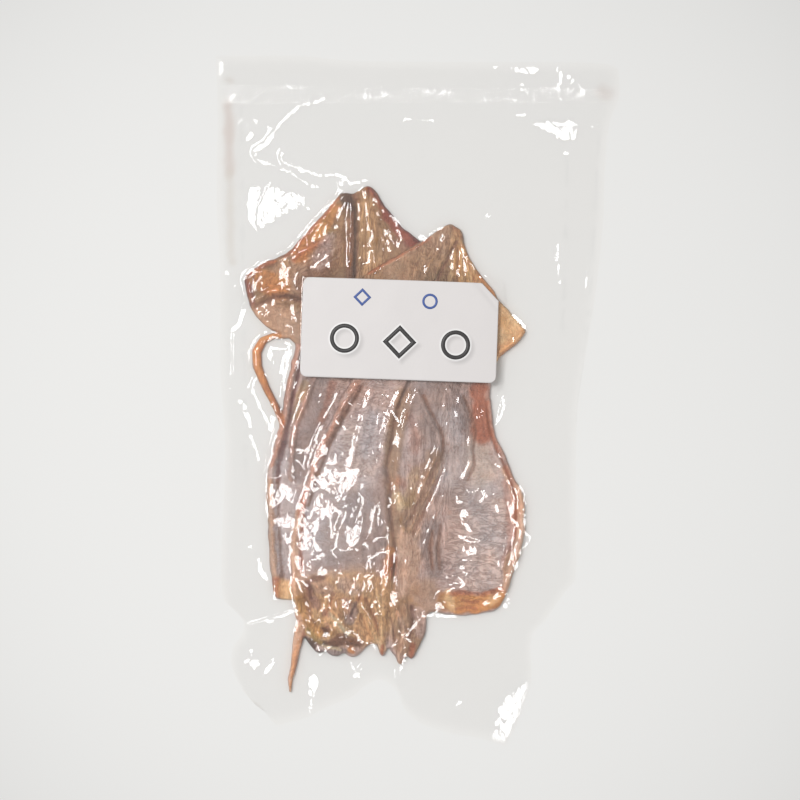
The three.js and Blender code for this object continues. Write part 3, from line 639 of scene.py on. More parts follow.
FRONT_PAINT = [
    # fins
    ("umber", 40, 10, 1.0, [(-5.5, 68), (15, 72), (36.5, 53)]),
    ("tan", 12, 10, 0.6, [(-3, 71.5), (14.5, 83.5)]),
    ("umber", 6, 6, 0.6, [(-3, 67.5), (7.5, 72), (15, 68)]),
    ("umber", 2.5, 2.5, 0.45, [(20.5, 89), (23, 84), (20, 77.5), (16, 69)]),
    ("rust", 1.6, 2, 0.6, [(22, 90), (25.5, 85.5)]),
    ("gold", 6, 4, 0.9, [(26, 74.5), (29, 66), (31, 58)]),
    ("amber", 2, 2, 0.8, [(28.5, 79), (35, 67.5), (42.5, 56.5)]),
    ("ochre", 2.5, 3, 0.6, [(23.5, 87), (24, 80.5)]),
    ("straw", 3.0, 3, 0.6, [(29.5, 72.5), (32, 64.5), (34.5, 57)]),
    ("straw", 1.0, 1.4, 0.7, [(27, 78.5), (27, 69.5), (27, 60)]),
    ("straw", 0.8, 1.2, 0.6, [(22, 77.5), (21.5, 69), (20, 59.5)]),
    ("rust", 0.6, 1.0, 0.6, [(29.5, 72.5), (32, 65.5), (35.5, 59)]),
    ("brown", 0.7, 0.8, 0.8, [(23.5, 83), (19.5, 74.5), (15.5, 66), (13, 59.5)]),
    ("brown", 0.6, 0.8, 0.6, [(24, 78.5), (24, 69), (24, 60.5)]),
    ("brown", 0.6, 0.8, 0.5, [(27.5, 75.5), (28, 68.5), (28.5, 60)]),
    ("rust", 1, 1.2, 0.7, [(-22, 65), (-9, 72.5), (2.5, 79), (9.5, 84.5)]),
    ("straw", 12, 5, 0.95, [(51.5, 40.5), (54, 34), (49, 28.5)]),
    ("amber", 3, 4, 0.6, [(48, 27.5), (53, 30.5), (58, 35)]),
    ("rust", 1, 1.2, 0.6, [(49.5, 24.5), (60, 35)]),
    ("gold", 3, 3, 0.6, [(49, 42), (52.5, 37)]),
    # mantle, left half
    ("blush", 20, 18, 0.25, [(-18, -1), (-28.5, -27.5)]),
    ("lavender", 16, 12, 0.85, [(-27.5, -22), (-35.5, -48.5), (-40, -72)]),
    ("lavender", 8, 8, 0.6, [(-20.5, -11.5), (-23, -37.5), (-22, -63.5)]),
    ("pink", 7, 7, 0.3, [(-23, 1.5), (-29, -6.5)]),
    ("grey", 8, 7, 0.7, [(-16, -53), (-17.5, -73.5), (-20, -84)]),
    ("grey", 9, 8, 0.5, [(-30, -53.5), (-33, -71.5), (-36.5, -85)]),
    ("pink", 2, 1.2, 0.95, [(-26, 7), (-32.5, -5), (-37.5, -16), (-43.5, -28), (-47.5, -41),
        (-51.5, -55)]),
    ("rim", 2.3, 1.2, 0.95, [(-52.5, -58), (-55, -72.5), (-55, -86.5), (-53.5, -101), (-51, -112.5)]),
    ("brown", 0.9, 1, 0.85, [(-23, 6), (-30, -6), (-35.5, -17), (-40.5, -29), (-45, -42),
        (-48.5, -56.5)]),
    ("rust", 0.9, 1, 0.8, [(-50.5, -62), (-52, -75), (-51.5, -90.5)]),
    ("rust", 1.6, 2, 0.8, [(-51, -54), (-52, -61.5), (-52, -49)]),
    # the channel and what flanks it
    ("umber", 4.5, 4, 0.8, [(-0.5, 2), (-5, -16), (-7, -37), (-5.5, -52.5), (-4, -73.5)]),
    ("dark", 0.8, 1, 0.8, [(1, 9), (-1.5, 3), (-4, -4)]),
    ("brown", 0.8, 1.2, 0.7, [(-4, -4), (-6, -14.5), (-7, -24.5), (-9, -35.5)]),
    ("brown", 0.9, 1, 0.8, [(-9, -35.5), (-6.5, -46), (-7, -53.5), (-4, -71.5), (-3, -79.5)]),
    ("grey", 3, 3, 0.7, [(-11, -37), (-9.5, -55), (-9, -73.5)]),
    ("amber", 2.2, 1.6, 0.9, [(-5.5, -77.5), (-7, -90), (-8, -106), (-8, -125.5)]),
    ("rust", 1.3, 1, 0.95, [(-3.5, -81.5), (-3.5, -94), (-4.5, -106.5), (-5.5, -120)]),
    ("dark", 0.6, 0.8, 0.9, [(-3, -83.5), (-3.5, -94), (-4, -104.5)]),
    ("tan", 6, 4, 0.8, [(4, -70.5), (5, -83.5), (3, -99)]),
    ("rust", 2.4, 3.5, 0.35, [(2.5, -8.5), (5.5, -16.5), (5, -25)]),
    ("cream", 2.6, 3, 0.6, [(-2, -51), (0, -55)]),
    ("rust", 1.8, 2.5, 0.3, [(-2.5, -43), (0.5, -44.5)]),
    # mantle, right half
    ("grey", 15, 12, 0.8, [(15.5, 0.5), (26, -20), (29.5, -41)]),
    ("blush", 14, 12, 0.8, [(45, -40.5), (46, -66.5), (42.5, -87.5)]),
    ("lavender", 6, 6, 0.7, [(22, -10), (25.5, -28), (24, -41)]),
    ("lavender", 8, 8, 0.6, [(40, -48.5), (44, -66.5)]),
    ("pale", 6, 6, 0.6, [(38, -25), (40.5, -38)]),
    ("terracotta", 5.0, 4.5, 0.95, [(37.5, 7.5), (39, -4), (40.5, -16.5)]),
    ("grey", 4.5, 4, 0.85, [(16, -66.5), (15.5, -78), (17.5, -88)]),
    ("brown", 0.9, 1.2, 0.8, [(16, -67.5), (15, -77), (16.5, -87)]),
    ("brown", 0.8, 1.2, 0.6, [(20, -64.5), (19, -76.5), (20.5, -87)]),
    ("grey", 4, 4, 0.7, [(10.5, -5), (16, -16.5), (18.5, -28)]),
    ("brown", 0.8, 0.9, 0.75, [(9, 2), (13, -6), (17, -12.5), (20, -19.5), (20, -26.5), (17, -35)]),
    ("brown", 0.7, 0.8, 0.7, [(29.5, 3), (34, -6.5), (36.5, -15.5), (35.5, -25), (36.5, -32.5),
        (33.5, -40.5)]),
    ("umber", 5, 4, 0.7, [(15.5, -31), (9, -49.5), (3, -63.5)]),
    ("brown", 0.7, 0.8, 0.6, [(17.5, -31), (13, -43.5), (7.5, -55), (2.5, -65.5)]),
    ("brown", 0.7, 0.8, 0.6, [(20.5, -35), (15.5, -46.5), (11, -58), (6, -69)]),
    ("olive", 3, 3, 0.4, [(6.5, -36.5), (2.5, -52)]),
    ("rust", 2, 2, 0.45, [(53.5, -41), (56.5, -66), (55, -81.5)]),
    ("rim", 3.0, 1.4, 0.95, [(54.5, -35), (60.5, -48.5), (61, -65), (59.5, -76.5), (56, -91)]),
    ("pink", 2.4, 1.4, 0.9, [(43.5, 4), (45, -8), (48.5, -19.5), (53.5, -27.5), (58, -40)]),
    ("rust", 0.9, 1, 0.85, [(42, 0), (43.5, -13), (47.5, -23.5), (52, -32), (55.5, -40),
        (58.5, -50.5), (59, -65), (57, -76.5)]),
    ("tan", 2.4, 1.6, 0.8, [(58.5, -81.5), (56, -91), (54.5, -100.5)]),
    ("amber", 5.2, 2, 1.0, [(51.5, -101.5), (43, -104), (32.5, -105), (24.5, -103.5)]),
    ("gold", 3.6, 3, 0.5, [(51, -101.5), (42, -103.5), (32.5, -104), (25, -103.5)]),
    ("straw", 2.4, 2, 0.6, [(48.5, -103), (51, -99.5)]),
    ("amber", 2.6, 3, 0.7, [(43, -105), (36, -105)]),
    ("straw", 3.5, 4, 0.6, [(52.5, 37.5), (56, 33.5)]),
    ("straw", 1.8, 3, 0.5, [(-9, -120.5), (-8, -126.5)]),
    ("dark", 1.2, 1.2, 0.7, [(-46, -129), (-41.5, -132), (-35, -133.5), (-30, -133)]),
    ("straw", 2.4, 2, 0.8, [(25, -99.5), (27, -106.5)]),
    ("rust", 0.8, 1, 0.6, [(32.5, -103), (37, -104), (41, -103)]),
    ("rust", 0.7, 1, 0.6, [(29.5, -107.5), (34, -106.5), (40, -107)]),
    ("rust", 1.4, 1.6, 0.8, [(52, -96.5), (43, -99.5), (33.5, -99), (26.5, -100)]),
    ("umber", 7, 6, 0.6, [(13.5, -98.5), (17, -106)]),
    # head and points: pale strokes on the strands are painted highlights and dark ones in the gaps
    # between the lobes painted shade, over the head's own colours
    ("ochre", 18, 9, 0.95, [(-36, -108.5), (-17, -111)]),
    ("ochre", 9, 6, 0.8, [(-25, -97), (-11, -99.5)]),
    ("mauve", 4, 4, 0.5, [(-28, -97), (-23.5, -99)]),
    ("straw", 3, 3, 0.4, [(-45, -117.5), (-44, -120.5)]),
    ("olive", 5, 5, 0.4, [(-42, -117), (-35, -127.5)]),
    ("tan", 4, 3, 0.9, [(-43.5, -98.5), (-38.5, -99.5)]),
    ("brown", 1.6, 1.4, 0.9, [(-44.5, -94), (-40.5, -93.5)]),
    ("brown", 1.3, 1, 0.95, [(-39, -121), (-36.5, -121.5), (-37.5, -124)]),
    ("plum", 2, 2, 0.6, [(-47.5, -98), (-44.5, -108)]),
    ("pink", 2.2, 2, 0.7, [(-43.5, -105), (-39, -112), (-35.5, -117)]),
    ("pink", 2, 2, 0.6, [(-28, -105.5), (-24.5, -113.5)]),
    ("amber", 2, 2, 0.8, [(-20.5, -104), (-16, -116.5), (-12.5, -123.5)]),
    ("rim", 3.4, 2, 0.95, [(-49.5, -115.5), (-52, -127), (-53.5, -140), (-54.5, -153)]),
    ("amber", 1.2, 1.4, 0.6, [(-51, -127), (-54, -138.5), (-54.5, -152)]),
    ("rust", 0.9, 1, 0.6, [(-48, -120.5), (-50.5, -132), (-53, -143.5)]),
    ("dark", 1.6, 1.4, 0.9, [(-47.5, -126.5), (-41.5, -127.5), (-35, -128), (-29, -126.5)]),
    ("grey", 1.8, 1.6, 0.9, [(-41.5, -132.5), (-34, -133), (-27.5, -132)]),
    ("brown", 2.6, 1.6, 0.9, [(-35, -127.5), (-28, -125), (-21, -127.5)]),
    ("amber", 1.8, 1.2, 0.9, [(-24, -131), (-23, -131.5)]),
    ("straw", 2.4, 2.0, 0.8, [(-9.5, -121.5), (-8, -129.5)]),
    ("rust", 1.2, 1.2, 0.9, [(-8, -128), (-8, -134.5)]),
    ("umber", 8, 4, 0.85, [(5, -110.5), (5.5, -125)]),
    ("mauve", 3, 3, 0.7, [(10, -110), (11.5, -120.5)]),
    ("gold", 2, 2, 0.8, [(-51.5, -105), (-49.5, -112.5), (-47.5, -117.5)]),
    ("plum", 0.9, 2, 0.5, [(-47.5, -95.5), (-46, -105)]),
    ("rust", 0.9, 2, 0.5, [(-49, -104), (-46.5, -111), (-44, -117.5)]),
    ("straw", 1.2, 1.2, 0.7, [(-37.5, -103.5), (-39.5, -109.5), (-42.5, -114.5)]),
    ("rust", 0.9, 2, 0.5, [(-34.5, -102.5), (-36, -108.5), (-38, -114)]),
    ("straw", 1.6, 1.4, 0.8, [(-43, -114), (-36, -115.5), (-30.5, -120)]),
    ("cream", 0.8, 0.9, 0.7, [(-36, -112), (-30, -118.5), (-25.5, -123)]),
    ("grey", 2.2, 2, 0.7, [(-22.5, -108), (-25, -115.5)]),
    ("plum", 0.8, 2, 0.45, [(-20, -102), (-23, -108.5), (-25, -113.5)]),
    ("straw", 1.8, 1.4, 0.8, [(-19.5, -107), (-15.5, -115.5), (-11, -125.5)]),
    ("rust", 0.8, 2, 0.6, [(-17.5, -104), (-13, -113), (-9.5, -122.5)]),
    ("straw", 0.9, 1, 0.7, [(-11.5, -99.5), (-10, -111), (-9, -121.5)]),
    ("gold", 2.4, 2, 0.8, [(-45, -120.5), (-41.5, -123.5)]),
    ("olive", 1.3, 1.3, 0.8, [(-47, -121.5), (-43.5, -124.5), (-40, -127.5)]),
    ("brown", 0.9, 1.6, 0.7, [(-4, -113.5), (-2.5, -120), (-1.5, -126)]),
    ("rim", 1.2, 1.2, 0.7, [(-0.5, -110.5), (3, -119), (2, -130.5)]),
    ("plum", 0.9, 2, 0.5, [(6.5, -107), (7.5, -115.5), (5.5, -125)]),
    ("dark", 1.4, 1.2, 0.9, [(-47.5, -127), (-44, -130)]),
    ("cream", 0.5, 0.7, 0.8, [(-39, -129), (-34, -130), (-29.5, -131)]),
    ("tan", 2, 2, 0.8, [(0, -125), (1.5, -137.5)]),
    ("rust", 1.4, 1.4, 0.8, [(8, -127.5), (7.5, -134.5)]),
]

# Pleats and ridges of the film: (half width, rise, path).
FILM_RIDGES = [
    # upper left
    (2.0, 1.1, [(-48.5, 154.5), (-60, 150.5), (-67, 144.5), (-71, 139), (-78, 129), (-83, 126)]),
    (1.7, 0.9, [(-83, 126), (-80.5, 121.5), (-68.5, 117), (-55, 110.5), (-45, 106.5)]),
    (1.5, 0.8, [(-69.5, 125.5), (-68.5, 121), (-64, 119), (-55, 116.5), (-47, 114.5), (-39, 116),
        (-35.5, 113.5), (-33, 110.5), (-26.5, 112.5), (-23, 112.5)]),
    (1.2, 0.5, [(-39, 116), (-38, 109.5), (-35, 105.5)]),
    (1.1, -0.6, [(-76, 110), (-78.5, 104), (-81, 98)]),
    # top flap
    (1.2, 0.6, [(69.5, 177.5), (72, 173), (75.5, 167)]),
    (1.1, 0.5, [(77, 176), (80, 167.5), (84, 165.5)]),
    (1.0, 0.4, [(50, 148.5), (64.5, 152)]),
    (1.0, 0.4, [(-5.5, 145), (10, 144.5)]),
    # left margin
    (1.4, 0.7, [(-78, 9.5), (-80.5, 3), (-77.5, -3.5), (-73, -10.5), (-71.5, -18.5), (-68, -12.5)]),
    (1.3, 0.6, [(-85.5, -4.5), (-82.5, -10), (-80, -17), (-78, -21.5), (-75, -31), (-72.5, -40.5)]),
    (1.6, 0.5, [(-94, 62), (-86.5, 49), (-84.5, 43), (-87, 35), (-90, 32.5), (-89.5, 7),
        (-88.5, -29.5)]),
    # below the left corner
    (1.3, 0.7, [(-77.5, -80), (-74, -87), (-69, -99)]),
    (1.2, 0.5, [(-69.5, -87), (-68.5, -98.5)]),
    (1.2, 0.9, [(-79, -120.5), (-69.5, -117.5), (-54.5, -112.5)]),
    (1.2, 0.5, [(-79.5, -140.5), (-75, -134)]),
    (1.2, 0.5, [(-69, -146.5), (-63.5, -138)]),
    (1.0, 0.4, [(-51, -127), (-50.5, -141.5), (-51, -153)]),
    # round the lower points
    (1.1, 0.6, [(-34, -157.5), (-26.5, -148), (-18, -138.5)]),
    (1.0, 0.5, [(-26, -138.5), (-20.5, -142), (-16, -146.5)]),
    (1.2, 0.9, [(-5, -131.5), (3, -124), (14, -110.5)]),
    (1.3, 0.8, [(10, -115.5), (19.5, -113), (31, -111)]),
    (1.2, 0.7, [(5.5, -125), (2.5, -135.5), (0.5, -151)]),
    # right side
    (1.1, 0.9, [(48, 3.5), (51, 2), (49.5, -5), (47.5, -12)]),
    (1.0, 0.7, [(63.5, -66), (67, -71.5), (62.5, -77), (60, -84.5)]),
    (1.2, 0.5, [(77.5, 127.5), (78.5, 91), (81, 54.5), (80.5, 17)]),
    (1.1, 0.5, [(76.5, 85.5), (76, 74), (77.5, 61.5)]),
    (1.2, 0.4, [(92, 71.5), (92.5, 59)]),
    (1.6, 0.5, [(75, 126), (57.5, 111), (39.5, 96)]),
]

# Areas of the film that mirror the light, beside the squid and over it.
FILM_FACETS = [
    [(-85, 106), (-82, 107.5), (-78.5, 108), (-80, 103), (-81.5, 98), (-81.5, 90.5), (-79.5, 83.5),
        (-82, 86), (-84, 89.5), (-85, 98)],
    [(-75.5, 107), (-71.5, 108), (-67.5, 106), (-62, 104.5), (-57, 103.5), (-55.5, 101), (-60, 97.5),
        (-65, 96), (-69, 92.5), (-73.5, 90.5), (-78, 85.5), (-80, 88.5), (-79.5, 96), (-77.5, 102)],
    [(-56, 99.5), (-52.5, 99.5), (-53, 96.5), (-56, 97)],
    [(58.5, 145), (69.5, 147), (80.5, 147.5), (84.5, 145), (84, 139.5), (80.5, 135.5), (71, 140.5)],
    [(77, 132), (80, 131.5), (79, 128)],
    [(44.5, 175.5), (55, 174), (64, 175.5), (62.5, 171.5), (50.5, 171.5)],
    [(36, 174), (42.5, 175), (42, 173)],
    [(69, -143.5), (65, -146), (62.5, -150), (58, -151.5), (56.5, -156.5), (52.5, -158), (54.5, -162),
        (52, -166), (53.5, -169), (49.5, -172.5), (54.5, -179.5), (59, -173), (63, -166.5), (67, -156)],
    [(-44, -143), (-40, -148.5), (-42, -152.5), (-43.5, -157), (-43.5, -167.5), (-44.5, -167.5),
        (-45, -158), (-46, -149.5)],
    [(-77, -138.5), (-73.5, -137), (-70.5, -139.5), (-73.5, -142.5), (-77, -141.5)],
    [(30, -156), (34, -156), (33.5, -158.5), (30.5, -158.5)],
    [(-74.5, -84), (-72, -89), (-68, -98.5), (-72.5, -94), (-75, -87.5)],
    [(-83.5, 13), (-78.5, 11), (-82, 11)],
    # fins
    [(-68, 68.5), (-64.5, 71), (-63.5, 69.5), (-64, 64.5), (-63.5, 60), (-62.5, 56.5), (-65, 57),
        (-65.5, 54.5), (-67, 57), (-67.5, 62.5), (-68.5, 66.5)],
    [(-64, 36), (-60.5, 37), (-61, 34.5), (-63, 34.5)],
    [(-13, 95.5), (-11.5, 96.5), (-8, 93), (-4.5, 88.5), (-6.5, 89.5), (-10, 92.5)],
    [(-14, 94.5), (-11, 93.5), (-8, 91), (-6, 88.5), (-9, 89), (-11.5, 91.5)],
    [(-12.5, 88.5), (-11, 87), (-10, 82.5), (-7.5, 79), (-9.5, 80), (-12, 84.5)],
    [(-16, 83), (-15, 84), (-13, 79.5), (-14.5, 79.5)],
    [(3, 84.5), (6, 86.5), (8.5, 85), (7, 82.5), (4, 82.5)],
    [(-31, 104.5), (-28.5, 108.5), (-25, 111), (-27.5, 107.5)],
    [(53, 48), (55.5, 44.5), (59, 42.5), (61.5, 37.5), (57, 40.5), (54, 44)],
    # back mantle
    [(-70.5, -42.5), (-66, -42.5), (-62.5, -40), (-64, -44)],
    [(-69, -46), (-66.5, -47.5), (-66, -54.5), (-67.5, -61.5), (-69, -54.5)],
    [(-65.5, -48), (-61.5, -46), (-57.5, -47), (-57.5, -54.5), (-62, -52), (-62.5, -57.5),
        (-66, -57.5)],
    [(-67, -64), (-61.5, -63), (-56.5, -63), (-57, -69), (-64, -70)],
    [(-62.5, -71.5), (-58, -72.5), (-59, -78.5)],
    # front mantle, left half
    [(-42, -18.5), (-40.5, -20.5), (-42, -23), (-41.5, -26), (-38.5, -27), (-40.5, -30),
        (-44.5, -32.5), (-45, -36.5), (-46, -39.5), (-48, -36), (-47, -31), (-46, -27.5), (-44.5, -23)],
    [(-56, -27.5), (-52.5, -28.5), (-49, -27), (-48.5, -30.5), (-52.5, -30.5), (-55.5, -30)],
    [(-34.5, -27.5), (-34, -31), (-35.5, -35.5), (-41, -35.5), (-41, -33), (-37, -31.5)],
    [(-29, -26.5), (-24.5, -27.5), (-26, -30.5), (-27, -33), (-26.5, -37), (-30, -37.5), (-32, -35.5),
        (-31, -33), (-29, -31), (-27.5, -29.5)],
    [(-41, -36.5), (-35.5, -37), (-31.5, -38.5), (-27, -36.5), (-20.5, -37.5), (-24, -40.5),
        (-26, -45.5), (-30, -49), (-34.5, -53), (-36.5, -50), (-42, -47.5), (-47, -50), (-48.5, -47),
        (-48, -40.5), (-44.5, -42.5), (-43, -39)],
    [(-49.5, -46), (-47.5, -50.5), (-50, -53.5), (-51, -57), (-48.5, -58.5), (-51, -61.5),
        (-53.5, -60), (-53.5, -55.5), (-51.5, -52.5), (-51.5, -49)],
    [(-53.5, -60.5), (-47.5, -62.5), (-46, -55.5), (-43, -50.5), (-39.5, -49.5), (-42.5, -55),
        (-43.5, -62), (-42, -70), (-45.5, -72.5), (-43, -77), (-39.5, -80.5), (-45, -82),
        (-49.5, -79.5), (-53, -81), (-54.5, -75), (-54, -67)],
    [(-41.5, -54), (-37.5, -53.5), (-33.5, -57), (-31.5, -60.5), (-34, -59.5), (-36.5, -61.5),
        (-35, -69), (-36.5, -73.5), (-39.5, -75.5), (-39.5, -70), (-37, -66), (-38.5, -62),
        (-42, -64), (-43, -58.5)],
    [(-21.5, -64.5), (-21.5, -73), (-24.5, -77), (-28.5, -76), (-30.5, -73), (-29, -69),
        (-25.5, -68.5)],
    [(-54, -81.5), (-51, -83), (-51.5, -87), (-49.5, -89.5), (-48, -94), (-51, -93), (-53, -89.5),
        (-54.5, -85.5)],
    [(-41.5, -87.5), (-37.5, -90), (-38.5, -93), (-41.5, -93), (-44, -92.5)],
    [(-36.5, -77), (-34.5, -75.5), (-33.5, -78.5), (-35, -80)],
    [(-14.5, -84.5), (-12, -86), (-10.5, -91), (-12.5, -90)],
    [(-30.5, -104), (-28, -105), (-25.5, -104.5), (-28, -109), (-33, -108.5), (-30, -106.5)],
    [(-14, -105), (-11, -104.5), (-13, -108), (-16, -109.5)],
    [(-1.5, -88.5), (-1, -96.5), (-0.5, -104.5), (-3, -109), (-5, -108), (-4, -100.5), (-3, -93)],
    # front mantle, right half
    [(29, -48), (27.5, -50.5), (29, -53.5), (32, -53), (29.5, -51)],
    [(30, -58), (32.5, -56), (35, -57), (34, -60.5), (31.5, -60.5)],
    [(32, -63.5), (34.5, -65), (37, -68), (33.5, -67.5)],
    [(35, -74), (39, -74), (39, -80.5), (35, -80), (32.5, -78), (36, -77)],
    [(30.5, -84.5), (34, -85), (35, -87), (31.5, -87)],
    [(55, -53), (57, -53.5), (56, -57), (54.5, -55.5)],
    [(57, -61), (60, -61.5), (58.5, -68.5), (57.5, -66)],
    [(52, -93), (54, -96), (51.5, -102.5), (48, -102.5), (50, -98.5)],
    [(19, -103.5), (21, -104.5), (22.5, -106.5), (26, -107), (21.5, -108.5), (20.5, -110.5),
        (17.5, -109.5), (19, -107)],
    [(48, -25), (50, -25.5), (50, -30), (48, -29)],
    # points
    [(-52.5, -115), (-51, -117.5), (-52.5, -123), (-54, -122), (-53.5, -117.5)],
    [(-15, -126), (-13, -126), (-10.5, -130.5), (-12.5, -130.5)],
    [(6.5, -125), (5.5, -133), (2.5, -140), (1, -148.5), (1.5, -139.5), (4, -131.5)],
]

